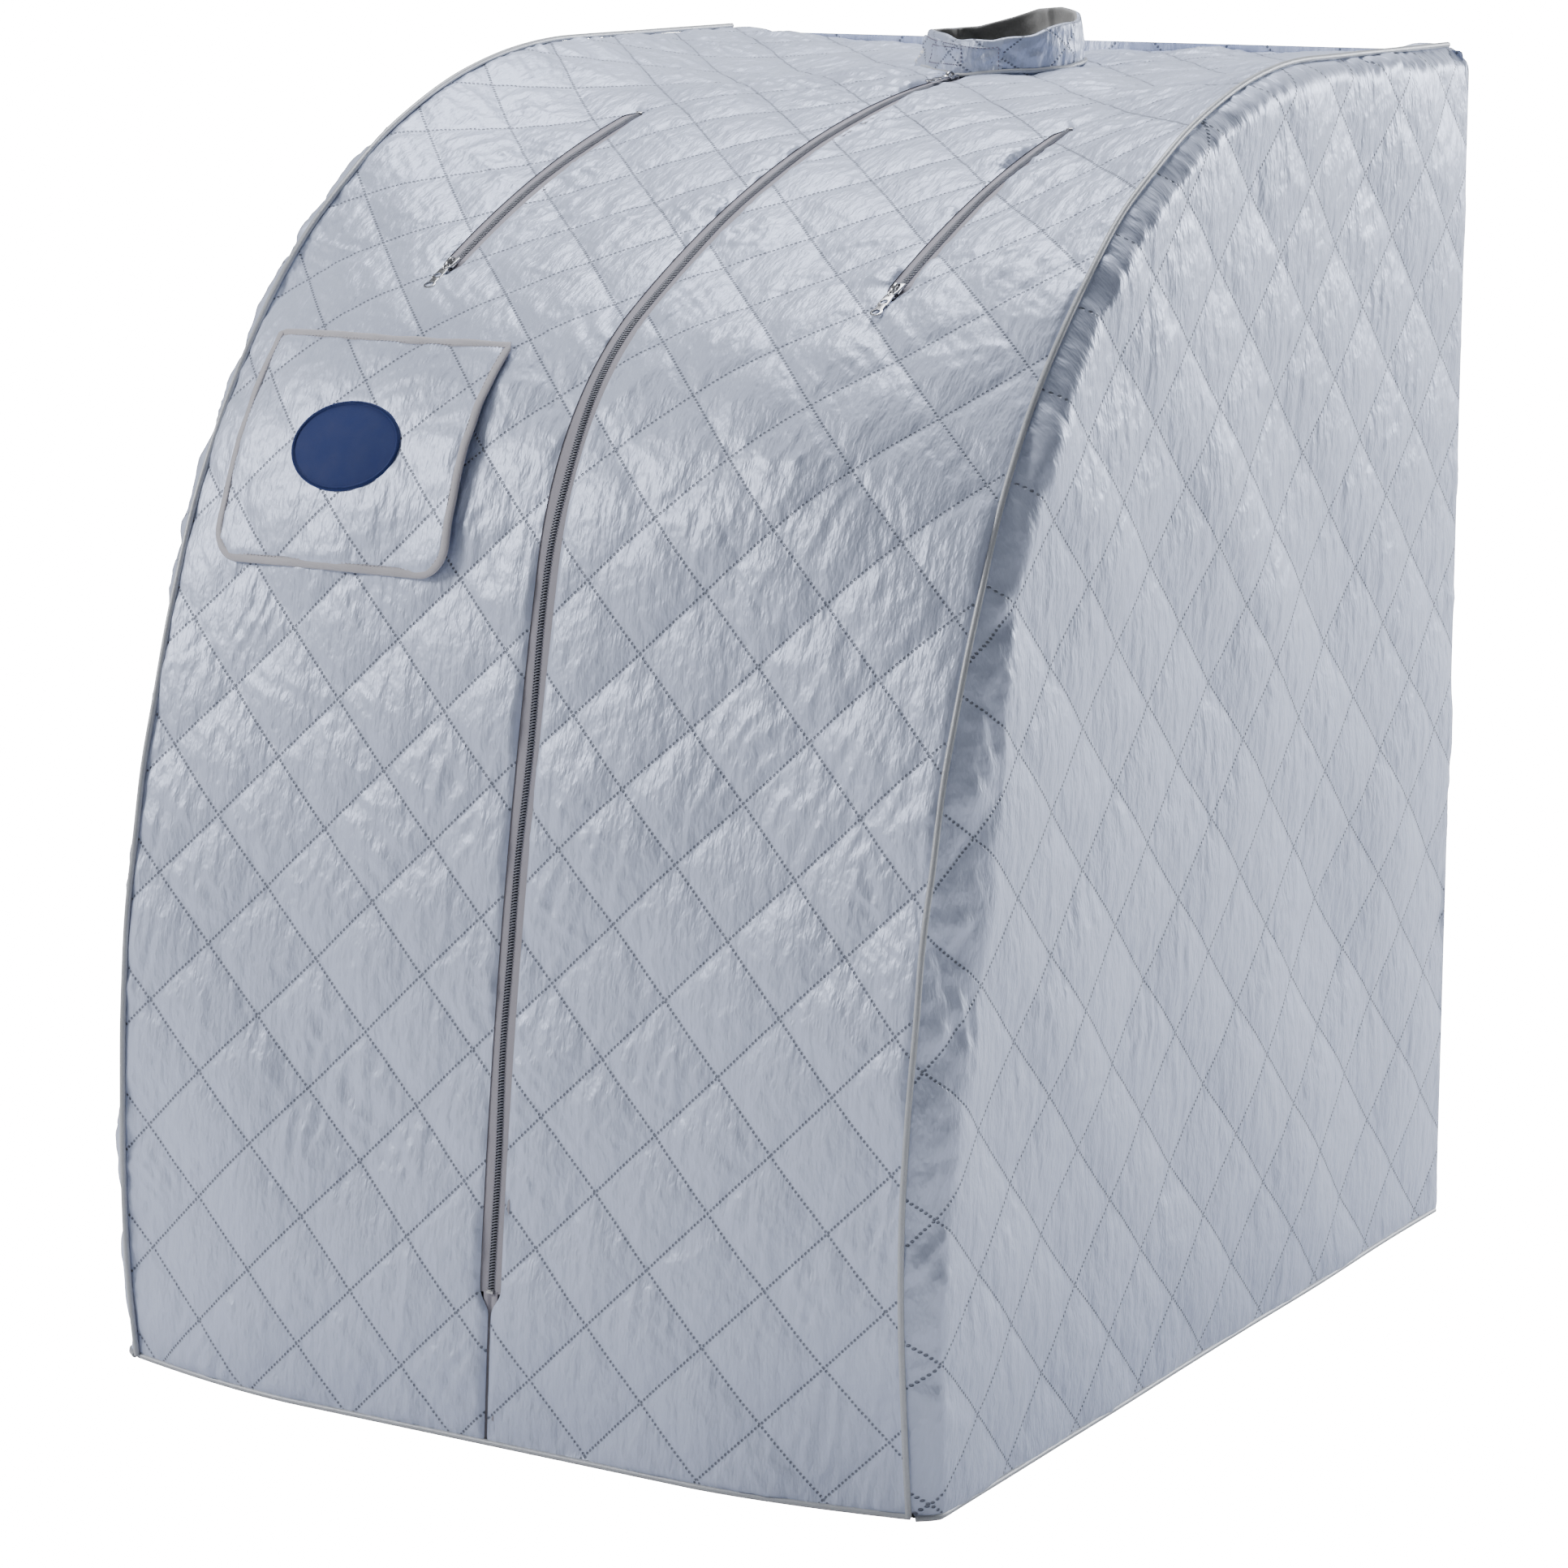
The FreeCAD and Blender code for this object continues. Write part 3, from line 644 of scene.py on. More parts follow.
def stitch_group():
    """Needle holes along the quilting's two families of lines, and the valleys beside them: masks that
    the cloth paints dark as shade.
    """
    build, given, result = node_group(
        "quilt_stitches",
        [("Vector", "Vector", None), ("Half", "Float", 0.05), ("Phase p", "Float", 0.0),
         ("Phase q", "Float", 0.0), ("Pitch", "Float", 0.0034), ("Hole", "Float", 0.0012)],
        [("Holes", "Float", None), ("Valley", "Float", None)])
    split = build.add("ShaderNodeSeparateXYZ")
    build.join(given.outputs["Vector"], split.inputs[0])
    u, v = split.outputs["X"], split.outputs["Y"]
    twice = build.math("MULTIPLY", given.outputs["Half"], 2.0)
    spacing = build.math("MULTIPLY", given.outputs["Half"], math.sqrt(2))
    plus, minus = build.math("ADD", u, v), build.math("SUBTRACT", u, v)
    holes, valleys = [], []
    for across, along, phase in ((plus, minus, "Phase p"), (minus, plus, "Phase q")):
        count = build.math("SUBTRACT", build.math("DIVIDE", across, twice), given.outputs[phase])
        off = build.math("SUBTRACT", count, build.math("ROUND", count))
        off = build.math("MULTIPLY", off, spacing)
        run = build.math("DIVIDE", along, math.sqrt(2))
        run = build.math("DIVIDE", run, given.outputs["Pitch"])
        run = build.math("SUBTRACT", run, build.math("ROUND", run))
        run = build.math("MULTIPLY", run, given.outputs["Pitch"])
        far = build.math("SQRT", build.math("ADD", build.math("MULTIPLY", off, off),
                                            build.math("MULTIPLY", run, run)))
        holes.append(build.math("SUBTRACT", 1.0, build.math("DIVIDE", far, given.outputs["Hole"]),
                                clamp=True))
        # A band 4 mm wide along each stitch line, which the cloth darkens as painted shade.
        near = build.math("DIVIDE", build.math("ABSOLUTE", off), 0.004)
        valleys.append(build.math("SUBTRACT", 1.0, near, clamp=True))
    hole = build.math("MAXIMUM", *holes)
    build.join(build.math("MULTIPLY", hole, 2.2, clamp=True), result.inputs["Holes"])
    build.join(build.math("MAXIMUM", *valleys), result.inputs["Valley"])
    return build.tree


def toned(color, share):
    """A colour made lighter or darker by that share, for a node's socket."""
    return (*(c * share for c in color), 1)


def silver_cloth(name, color, quilt, groups):
    """Silver satin with the stitches of that quilt, with painted shade in its stitch valleys and needle
    holes.
    """
    material, build, shader = material_of(name, color, 0.46, 0.35)
    uv = build.add("ShaderNodeUVMap", uv_map="UVMap").outputs[0]
    weave = use_group(build, groups["satin"], Vector=uv)
    sewn = use_group(build, groups["stitches"], Vector=uv, Half=quilt.half,
                     Phase_p=quilt.phase_p, Phase_q=quilt.phase_q)
    light = toned(color, 1.10)
    dark = toned(color, 0.86)
    tint = build.mix(weave.outputs["Shade"], dark, light)
    # Painted shade: the cloth is darkened along the quilting's stitch valleys.
    painted_valley_shade = toned(color, 0.80)
    tint = build.mix(build.math("MULTIPLY", sewn.outputs["Valley"], 0.35), tint, painted_valley_shade)
    # Painted shade: the needle holes are painted nearly black, for the shade inside them.
    hole = toned(color, 0.22)
    tint = build.mix(build.math("MULTIPLY", sewn.outputs["Holes"], 0.8), tint, hole)
    build.join(tint, shader.inputs["Base Color"])
    build.join(build.between(weave.outputs["Gloss"], 0.38, 0.54), shader.inputs["Roughness"])
    normal = build.bump(weave.outputs["Creases"], 0.0035, 0.8)
    normal = build.bump(weave.outputs["Height"], 0.0003, 0.6, normal)
    depth = build.math("MULTIPLY", sewn.outputs["Holes"], -1.0)
    normal = build.bump(depth, 0.0012, 1.0, normal)
    build.join(normal, shader.inputs["Normal"])
    shader.inputs["Sheen Weight"].default_value = 0.15
    return material


def woven(name, color, scale, roughness, metallic):
    """Plain woven tape or cord: crossed threads, with uneven colour."""
    material, build, shader = material_of(name, color, roughness, metallic)
    place = build.add("ShaderNodeTexCoord").outputs["Object"]
    threads = build.noise(build.stretched(place, scale), 1.0, 2.0, 0.6)
    clouds = build.noise(place, 60.0, 2.0)
    light = toned(color, 1.15)
    dark = toned(color, 0.80)
    share = build.math("ADD", build.math("MULTIPLY", threads, 0.6), build.math("MULTIPLY", clouds, 0.4))
    build.join(build.mix(share, dark, light), shader.inputs["Base Color"])
    build.join(build.between(clouds, roughness - 0.08, roughness + 0.08), shader.inputs["Roughness"])
    build.join(build.bump(threads, 0.0004, 0.7), shader.inputs["Normal"])
    return material


def worn(name, color, roughness, metallic):
    """Smooth metal or nylon with faint scuffs."""
    material, build, shader = material_of(name, color, roughness, metallic)
    place = build.add("ShaderNodeTexCoord").outputs["Object"]
    scuffs = build.noise(build.stretched(place, (400, 90, 400)), 1.0, 4.0, 0.6)
    clouds = build.noise(place, 40.0, 2.0)
    dull = toned(color, 0.78)
    build.join(build.mix(clouds, dull, (*color, 1)), shader.inputs["Base Color"])
    build.join(build.between(scuffs, roughness - 0.08, roughness + 0.14), shader.inputs["Roughness"])
    build.join(build.bump(scuffs, 0.0002, 0.4), shader.inputs["Normal"])
    return material


# ---------------------------------------------------------------- settings

class SaunaCloth(bpy.types.PropertyGroup):
    """Sizes and colours of the quilted cloth."""
    puff: FloatProperty(name="Puff", description="Height of a diamond before it swells",
                        default=0.0035, unit="LENGTH")
    growth: FloatProperty(name="Spare cloth", description="Share by which the cloth is larger",
                          default=0.028)
    pressure: FloatProperty(name="Loft", description="How hard the wadding pushes out",
                            default=3.0)
    color: FloatVectorProperty(name="Silver", description="Colour of the satin",
                               default=(0.595, 0.66, 0.85), subtype="COLOR")


class SaunaStage(bpy.types.PropertyGroup):
    """Camera and light."""
    camera_at: FloatVectorProperty(name="Camera", description="Where the camera stands",
                                   default=(1.8238, -3.0615, 1.1383), subtype="XYZ")
    azimuth: FloatProperty(name="Azimuth", description="Camera's angle round the cabin, degrees",
                           default=31.024)
    elevation: FloatProperty(name="Elevation", description="Camera's height angle, degrees",
                             default=11.647)
    lens: FloatProperty(name="Lens", description="Focal length in millimetres", default=108.04)


# ---------------------------------------------------------------- cloth pieces

LOOKS = {}


def sheet_step(quilt, parts):
    return quilt.half / parts


ROOF_FROM, ROOF_OVER = 0.68, 0.14                 # height where the front turns into roof
BEND_Y = -0.20                                    # where the front bends over into the roof
CREASED_FROM = 0.10                               # creases deepen this far below the bend
UNDER_POCKET = 0.004                              # how far inside its edge the pocket holds
NECK_TRIM = 0.008                                 # how far under the collar the cloth goes
ZIP_END = 0.010                                   # an arm slit tapers over this at its ends


def front_cloth(side, cloth):
    """Front and roof cloth of one half, from the main zip to the side piping."""
    hand = hand_of(side)
    quilt, seed = (RIGHT_QUILT, RIGHT_SEED) if side > 0 else (LEFT_QUILT, LEFT_SEED)
    name = "front_cover_" + hand
    low, high = sorted((side * SLOT, side * EDGE_X))
    us = quilt.lines(low, high, 0, sheet_step(quilt, 10))
    vs = quilt.lines(0.0, MID.length, 1, sheet_step(quilt, 10))
    arm_low, arm_high = zip_span("arm_zip_right")
    neck_s = MID.reach(COLLAR.y)

    def inside(u, v):
        slit = (np.abs(np.abs(u) - ARM_X) < SLIT) & (v > arm_low) & (v < arm_high)
        neck = u ** 2 + (v - neck_s) ** 2 < (COLLAR_R - NECK_TRIM) ** 2
        return ~(slit | neck)

    held = (lambda u, v: in_pocket(u, v, UNDER_POCKET)) if side < 0 else None
    zip_foot = zip_span("main_zip")[0]

    def close_up(u, v, edge):
        """Below the zip the halves meet at the seam, and an arm slit's ends are narrow."""
        below = np.clip((zip_foot - v) / 0.012, 0, 1)
        near = np.clip(1 - (np.abs(u) - SLOT) / 0.030, 0, 1)
        u = u - side * (SLOT - SEAM) * below * near
        off = u - side * ARM_X
        rim = edge & (np.abs(off) < 0.014) & (v > arm_low - 0.008) & (v < arm_high + 0.008)
        narrow_end = np.clip(np.minimum(v - arm_low, arm_high - v) / ZIP_END, 0.35, 1)
        return np.where(rim, side * ARM_X + np.sign(off) * SLIT * narrow_end, u), v

    piece = quilted_sheet(name + "_cloth", quilt, us, vs, on_roof, cloth.puff, seed,
                          inside=inside, snap=close_up, held=held)
    height = vertices_of(piece)[:, 2]
    roof = np.clip((height - ROOF_FROM) / ROOF_OVER, 0, 1)
    spare = (cloth.growth * (1 - 0.65 * roof), cloth.growth * (0.25 + 0.75 * roof))
    billow(piece, spare, cloth.pressure)
    subdivide(piece)
    bent = MID.reach(BEND_Y)

    def up_high(_u, v):
        return 0.0002 + 0.0006 * np.clip((v - bent + CREASED_FROM) / 0.15, 0, 1)

    crease(piece, quilt, 60 + side, (
        (up_high, 0.075, 0.016, 0.25 * side, 0.16),
        (0.00055, 0.050, 0.015, 1.25, 0.20),
        (0.00045, 0.060, 0.013, -0.75, 0.14)), held)
    smooth(piece)
    hand_over(piece, LOOKS["cloth_" + hand], "right_side", name)
    crumple(piece)


def nearest_on_side(y, z):
    """Distance of points from the side roof line, and where along it the nearest spot is."""
    s = np.linspace(0, SIDE.length, 700)
    ly, lz, _lean = SIDE.at(s)
    far = (y[:, None] - ly[None]) ** 2 + (z[:, None] - lz[None]) ** 2
    best = far.argmin(1)
    return np.sqrt(far[np.arange(len(y)), best]), s[best]


STRIP_S = 0.40                                    # where along the arch the strip is widest


def strip_width(s):
    """Width of the gathered strip along the arch: widest low down at the front."""
    return 0.012 + 0.036 * np.exp(-((s - STRIP_S) / 0.20) ** 2)


def side_swell(y, z):
    """How far the side cloth stands out from the arch piping: in at the seam, out at the
    crease over the front post, then flat."""
    far, s = nearest_on_side(y, z)
    crease = strip_width(s)
    rise = 0.004 * np.exp(-((s - STRIP_S) / 0.25) ** 2)
    t = np.clip(far / crease, 0, 1)
    full = FACE_X - EDGE_X
    crushed = (0.0012 + np.abs(0.0030 * waves(y, z, 17, 0.035))) * np.sin(math.pi * t)
    before = (full + rise) * t ** 1.10 + crushed
    after = full + rise * np.exp(-np.maximum(far - crease, 0) / 0.03)
    return np.where(far < crease, before, after)


SIDE_FRONT, SIDE_TOP = -0.430, 0.958              # just outside the arch, in Y and in Z
LINE_POINTS, ROOF_POINT = 3000, 1100              # points on the arch, and the first on the roof
FRONT_OF = -0.30                                  # ahead of this Y the arch is crossed in Y
FLANGE_ROOM, FLANGE_FADE = 0.050, 0.020           # reach of the flat cloth round the inlet


def from_inlet(y, z):
    """Distance of points from the middle of the steam inlet, seen from the side."""
    return np.hypot(y - INLET.y, z - INLET.z)


def side_cloth(side, cloth):
    """Side panel with the gathered strip between the arch piping and the front post."""
    name = "side_panel_" + hand_of(side)
    quilt = SIDE_QUILT
    step = sheet_step(quilt, 8)
    us = quilt.lines(SIDE_FRONT, BACK_Y, 0, step)
    vs = quilt.lines(FOOT_Z, SIDE_TOP, 1, step)
    line_y, line_z, _lean = SIDE.at(np.linspace(0, SIDE.length, LINE_POINTS))

    def below(u, v):
        """True under the arch: in front of it the line is crossed in Y, over it in Z."""
        front = np.interp(v, line_z, line_y)
        roof = np.interp(u, line_y[ROOF_POINT:], line_z[ROOF_POINT:])
        return np.where(u < FRONT_OF, u > front, v < roof)

    def cut(u, v):
        """The cloth under the arch, with the hole for the steam inlet on the left side."""
        if side > 0:
            return below(u, v)
        return below(u, v) & (from_inlet(u, v) > INLET_HOLE)

    def snap(u, v, edge):
        free = edge & (u < BACK_Y - 1e-6) & (v > FOOT_Z + 0.0001)
        free &= from_inlet(u, v) > 2 * INLET_HOLE
        _far, s = nearest_on_side(u[free], v[free])
        y, z, _lean = SIDE.at(s)
        u, v = u.copy(), v.copy()
        u[free], v[free] = y, z
        return u, v

    def face(u, v):
        x = EDGE_X + side_swell(u.ravel(), v.ravel()).reshape(u.shape)
        return np.stack([side * x, u, v], -1)

    piece = quilted_sheet(name + "_cloth", quilt, us, vs, face, side * cloth.puff * 0.9, 31,
                          inside=cut, snap=snap)
    if side < 0:
        turn_over(piece)
    billow(piece, (0.0, cloth.growth * 0.5), cloth.pressure * 0.7)
    subdivide(piece)

    def in_strip(u, v):
        far, s = nearest_on_side(u, v)
        return 0.0004 + 0.0018 * (far < strip_width(s))

    crease(piece, quilt, 81, ((in_strip, 0.060, 0.014, 1.45, 0.16),
                              (0.00035, 0.045, 0.012, 0.5, 0.2)))
    if side < 0:
        press_flat(piece)
    smooth(piece)
    hand_over(piece, LOOKS["cloth_side"], hand_of(side) + "_side", name)


def press_flat(piece):
    """Presses the left side cloth flat under the steam inlet's flange."""
    co = vertices_of(piece)
    flat = np.clip((FLANGE_ROOM - from_inlet(co[:, 1], co[:, 2])) / FLANGE_FADE, 0, 1)
    co[:, 0] += (-(FACE_X - 0.0010) - co[:, 0]) * flat
    set_vertices(piece, co)


def turn_over(piece):
    """Turns every face of a piece round."""
    make_active(piece)
    bpy.ops.object.mode_set(mode="EDIT")
    bpy.ops.mesh.select_all(action="SELECT")
    bpy.ops.mesh.flip_normals()
    bpy.ops.object.mode_set(mode="OBJECT")


def back_cloth(cloth):
    """Quilted back panel."""
    quilt = SIDE_QUILT
    step = sheet_step(quilt, 8)
    half = FACE_X - 0.004
    top = float(SIDE.z[-1]) - 0.002
    us = quilt.lines(-half, half, 0, step)
    vs = quilt.lines(FOOT_Z, top, 1, step)

    def face(u, v):
        return np.stack([-u, np.full_like(u, BACK_Y - 0.003), v], -1)

    piece = quilted_sheet("back_panel_cloth", quilt, us, vs, face, cloth.puff * 0.6, 51)
    billow(piece, (cloth.growth * 0.3, cloth.growth * 0.3), cloth.pressure * 0.5)
    subdivide(piece)
    smooth(piece)
    hand_over(piece, LOOKS["cloth_side"], "right_side", "back_panel")
    crumple(piece)


class SAUNA_OT_cloth(bpy.types.Operator):
    """Makes the quilted front, roof, sides and back"""
    bl_idname = "sauna.cloth"
    bl_label = "Quilted cloth"

    def execute(self, context):
        cloth = context.scene.sauna_cloth
        for side in (1, -1):
            front_cloth(side, cloth)
            side_cloth(side, cloth)
        back_cloth(cloth)
        return {"FINISHED"}


QUILTED = {"right": RIGHT_QUILT, "left": LEFT_QUILT, "side": SIDE_QUILT, "pocket": POCKET_QUILT}
WOVEN = {                  # name, colour, threads in a metre each way, roughness, metallic
    "piping": ("piping_satin", (0.50, 0.52, 0.56), (700, 700, 700), 0.45, 0.25),
    "tape": ("zip_tape_twill", (0.37, 0.355, 0.41), (1500, 500, 1500), 0.8, 0.0),
    "binding": ("binding_tape", (0.46, 0.45, 0.49), (1200, 1200, 1200), 0.6, 0.1),
    "thread": ("mauve_thread", (0.25, 0.23, 0.29), (3000, 3000, 3000), 0.7, 0.0),
    "lining": ("collar_lining", (0.34, 0.34, 0.34), (500, 500, 500), 0.9, 0.0),
    "fleece": ("white_fleece", (0.85, 0.85, 0.86), (2500, 2500, 2500), 0.95, 0.0),
    "patch": ("blue_twill", (0.0008, 0.017, 0.125), (1400, 2600, 1400), 0.75, 0.0),
    "floor": ("grey_floor_cloth", (0.20, 0.21, 0.23), (900, 900, 900), 0.75, 0.0),
    "tie": ("tie_tape", (0.42, 0.42, 0.45), (1500, 1500, 500), 0.8, 0.0)}
WORN = {                   # name, colour, roughness, metallic
    "coil": ("zip_coil_nylon", (0.27, 0.28, 0.33), 0.38, 0.15),
    "nickel": ("bright_nickel", (0.62, 0.62, 0.64), 0.24, 1.0),
    "paint": ("white_frame_paint", (0.72, 0.73, 0.74), 0.40, 0.0),
    "plastic": ("moulded_grey_plastic", (0.12, 0.12, 0.13), 0.48, 0.0),
    "steel": ("zinc_steel", (0.56, 0.57, 0.58), 0.32, 1.0)}


class SAUNA_OT_materials(bpy.types.Operator):
    """Builds the node groups and the materials"""
    bl_idname = "sauna.materials"
    bl_label = "Materials"

    def execute(self, context):
        cloth = context.scene.sauna_cloth
        groups = {"satin": satin_group(), "stitches": stitch_group()}
        color = tuple(cloth.color)
        for look, quilt in QUILTED.items():
            LOOKS["cloth_" + look] = silver_cloth("silver_satin_" + look, color, quilt, groups)
        LOOKS["collar"] = silver_cloth("collar_satin", tuple(c * 0.82 for c in color),
                                       COLLAR_QUILT, groups)
        for look, finish in WOVEN.items():
            LOOKS[look] = woven(*finish)
        for look, finish in WORN.items():
            LOOKS[look] = worn(*finish)
        return {"FINISHED"}


# ---------------------------------------------------------------- seams and piping

def cord_along(name, points, radius, sides=3):
    """A round cord through points, as a mesh."""
    fresh()
    curve = bpy.data.curves.new(name, "CURVE")
    curve.dimensions = "3D"
    curve.bevel_depth = radius
    curve.bevel_resolution = sides
    curve.use_fill_caps = True
    spline = curve.splines.new("POLY")
    spline.points.add(len(points) - 1)
    flat = np.concatenate([np.asarray(points), np.ones((len(points), 1))], 1)
    spline.points.foreach_set("co", flat.ravel())
    holder = bpy.data.objects.new(name, curve)
    bpy.context.scene.collection.objects.link(holder)
    make_active(holder)
    bpy.ops.object.convert(target="MESH")
    piece = bpy.context.object
    piece.name = name
    piece.data.name = name
    smooth(piece)
    return piece


def side_piping(side):
    """Piping over the arch and along the foot of one side."""
    name = "piping_" + hand_of(side)
    s = np.arange(0.0, SIDE.length, 0.004)
    y, z, _lean = SIDE.at(s, CORD_R)
    x = EDGE_X + 0.0008 * waves(s, s * 0, 5, 0.12)
    arch = cord_along(name + "_arch", np.stack([side * x, y, z], -1), CORD_R)
    foot_y = np.arange(SIDE.y[0], BACK_Y, 0.006)
    low = np.full_like(foot_y, CORD_R + 0.0006)
    foot_x = EDGE_X + side_swell(foot_y, low) + 0.0004 * waves(foot_y, foot_y * 0, 6, 0.2)
    foot = cord_along(name + "_foot", np.stack([side * foot_x, foot_y, low], -1), CORD_R)
    piece = joined(name + "_cord", [arch, foot])
    hand_over(piece, LOOKS["piping"], hand_of(side) + "_side", name)


def base_piping():
    """Piping along the front and back foot."""
    x = np.arange(-EDGE_X, EDGE_X + 0.001, 0.006)
    front = on_roof(x, np.zeros_like(x))
    front[:, 2] = CORD_R + 0.0012
    back = np.stack([x, np.full_like(x, BACK_Y), np.full_like(x, CORD_R + 0.0006)], -1)
    piece = joined("base_piping_cord", [cord_along("front_foot_cord", front, CORD_R),
                                        cord_along("back_foot_cord", back, CORD_R)])
    hand_over(piece, LOOKS["piping"], "right_side", "base_piping")
    crumple(piece)


FRONT_SEAM, ROOF_SEAM = 0.0060, 0.0105            # half widths of the two plain seams


def seam_strip(name, node, s0, s1, half):
    """A flat seam between the two halves: both edges turned in to a sewn groove."""
    us = np.concatenate([np.linspace(-half, -0.001, 6), [0.0], np.linspace(0.001, half, 6)])
    vs = np.linspace(s0, s1, max(4, int((s1 - s0) / 0.004)))
    u, v = grid(us, vs)
    rise = -0.0006 - 0.0016 * np.exp(-(u / 0.0016) ** 2) + 0.0004 * waves(u, v, 8, 0.02)
    piece = mesh_piece(name, on_roof(u, v, rise), grid_faces(len(us), len(vs)),
                       np.stack([u, v], -1))
    smooth(piece)
    thicken(piece, 0.002)
    hand_over(piece, LOOKS["tape"], "right_side", node)
    crumple(piece)


class SAUNA_OT_seams(bpy.types.Operator):
    """Makes the piping and the plain seams"""
    bl_idname = "sauna.seams"
    bl_label = "Piping and seams"

    def execute(self, context):
        for side in (1, -1):
            side_piping(side)
        base_piping()
        seam_strip("front_seam_cloth", "front_seam", 0.0, zip_span("main_zip")[0] + 0.002,
                   FRONT_SEAM)
        neck = MID.reach(COLLAR.y + COLLAR_R - 0.004)
        seam_strip("roof_seam_cloth", "roof_seam", neck, MID.length, ROOF_SEAM)
        return {"FINISHED"}


# ---------------------------------------------------------------- zips

ZIPS = {"main_zip": 0.0, "arm_zip_right": ARM_X, "arm_zip_left": -ARM_X}
TOOTH_PITCH = 0.0021
TAPE_IN, TAPE_OUT = 0.0024, 0.0115                # edges of a tape, from the zip's middle
ROW_END = 0.003                                   # how far the teeth stop short of an end
PLATE = (0.0094, 0.0125, 0.72)                    # width, length and taper of a slider plate
PULL_N = 0.0030                                   # height of the pull's middle
RING_S = -0.0315                                  # middle of the ring end's hole


def zip_span(name):
    """Where a zip starts and ends up the roof line, from its tapes."""
    low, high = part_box(name + "_tapes")
    if name == "main_zip":
        foot = float(np.interp(low.z + 0.001, MID.z, MID.s))
        return foot, MID.reach(high.y)
    return MID.reach(low.y), MID.reach(high.y)


def flat_strip(name, x0, x1, s0, s1, n, step=0.006, thick=0.0007, across=3):
    """A thin strip modelled flat between x0 and x1, from s0 to s1, n above the cloth."""
    us = np.linspace(x0, x1, across)
    vs = np.linspace(s0, s1, max(2, int((s1 - s0) / step)))
    u, v = grid(us, vs)
    piece = mesh_piece(name, np.stack([u, v, np.full_like(u, n)], -1),
                       grid_faces(len(us), len(vs)), np.stack([u, v], -1))
    thicken(piece, thick)
    return piece


def sway_of(name, s, s0, s1):
    """Small sideways wander of a sewn-in zip between its two ends."""
    ends = np.clip(np.minimum(s - s0, s1 - s) / 0.08, 0, 1)
    return 0.0011 * waves(s, s * 0, len(name), 0.16) * ends


def wander(piece, name, s0, s1):
    co = vertices_of(piece)
    co[:, 0] += sway_of(name, co[:, 1], s0, s1)
    set_vertices(piece, co)


def one_tooth():
    """One turn of the coil, seen from above: a rounded bar that dips at its outer end."""
    tooth = primitive(bpy.ops.mesh.primitive_cylinder_add, "tooth", vertices=8, radius=0.00062,
                      depth=0.0036, rotation=(0, math.pi / 2, 0), location=(0.0013, 0, 0))
    modify(tooth, "BEVEL", width=0.0003, segments=1)
    co = vertices_of(tooth)
    co[:, 1] += 0.22 * (co[:, 0] - 0.0013)
    co[:, 2] -= np.clip(co[:, 0] - 0.0018, 0, 1) * 0.5
    set_vertices(tooth, co)
    return tooth


def tooth_rows(name, x, s0, s1, tooth):
    """Two rows of teeth, the second set half a pitch on, as one mesh."""
    base = vertices_of(tooth)
    faces = [list(f.vertices) for f in tooth.data.polygons]
    points, polygons = [], []
    count = int((s1 - s0) / TOOTH_PITCH)
    for row, side in enumerate((1, -1)):
        turned = base * (side, side, 1)
        for k in range(count):
            start = len(points) * len(base)
            points.append(turned + (x, s0 + (k + row / 2) * TOOTH_PITCH, 0.0))
            polygons.extend([[i + start for i in face] for face in faces])
    return mesh_piece(name, np.concatenate(points), polygons)


def on_line(piece, x, s):
    """Turns and moves a piece modelled at the origin (X across, Y up the zip, Z outward)."""
    y, z, a = (float(value) for value in MID.at(s))
    turn = Matrix(((1, 0, 0, x), (0, math.sin(a), -math.cos(a), y),
                   (0, math.cos(a), math.sin(a), z), (0, 0, 0, 1)))
    piece.data.transform(turn)
    piece.data.update()


def bar(name, size, place, bevel=0.0004, segments=2):
    """A rounded block of that size at that place."""
    piece = primitive(bpy.ops.mesh.primitive_cube_add, name, size=1.0, scale=size, location=place)
    modify(piece, "BEVEL", width=bevel, segments=segments)
    return piece


def narrow(piece, low_y, high_y, low_share, high_share):
    """Tapers a piece across X between two places along Y."""
    co = vertices_of(piece)
    t = np.clip((co[:, 1] - low_y) / (high_y - low_y), 0, 1)
    co[:, 0] *= low_share + (high_share - low_share) * t
    set_vertices(piece, co)


def slider_piece(name):
    """Slider: two flared plates, the post between them and an arched bridge."""
    across, along, low_share = PLATE
    top = bar(name + "_top", (across, along, 0.0015), (0, 0, 0.0024), 0.0006, 3)
    under = bar(name + "_under", (across, along, 0.0012), (0, 0, -0.0028), 0.0005)
    for plate in (top, under):
        narrow(plate, -0.0062, 0.0062, low_share, 1.0)
    cheeks = [bar(f"{name}_cheek{k}", (0.0010, 0.0100, 0.0012), (side * 0.0038, -0.0006, 0.0014),
                  0.0003) for k, side in enumerate((1, -1))]
    post = bar(name + "_post", (0.0016, 0.0032, 0.0056), (0, 0.0038, 0.0), 0.0003)
    arch = []
    for k in range(13):
        t = math.pi * k / 12
        arch.append((0.0, 0.0050 * math.cos(t) - 0.0006, 0.0027 + 0.0032 * math.sin(t)))
    bridge = cord_along(name + "_bridge", arch, 0.0010, 2)
    co = vertices_of(bridge)
    co[:, 0] *= 1.5
    set_vertices(bridge, co)
    piece = joined(name, [top, under, *cheeks, post, bridge])
    smooth(piece, 40)
    return piece


def hole_cutter(radius, place):
    return primitive(bpy.ops.mesh.primitive_cylinder_add, "cutter", vertices=40, radius=radius,
                     depth=0.01, location=place)


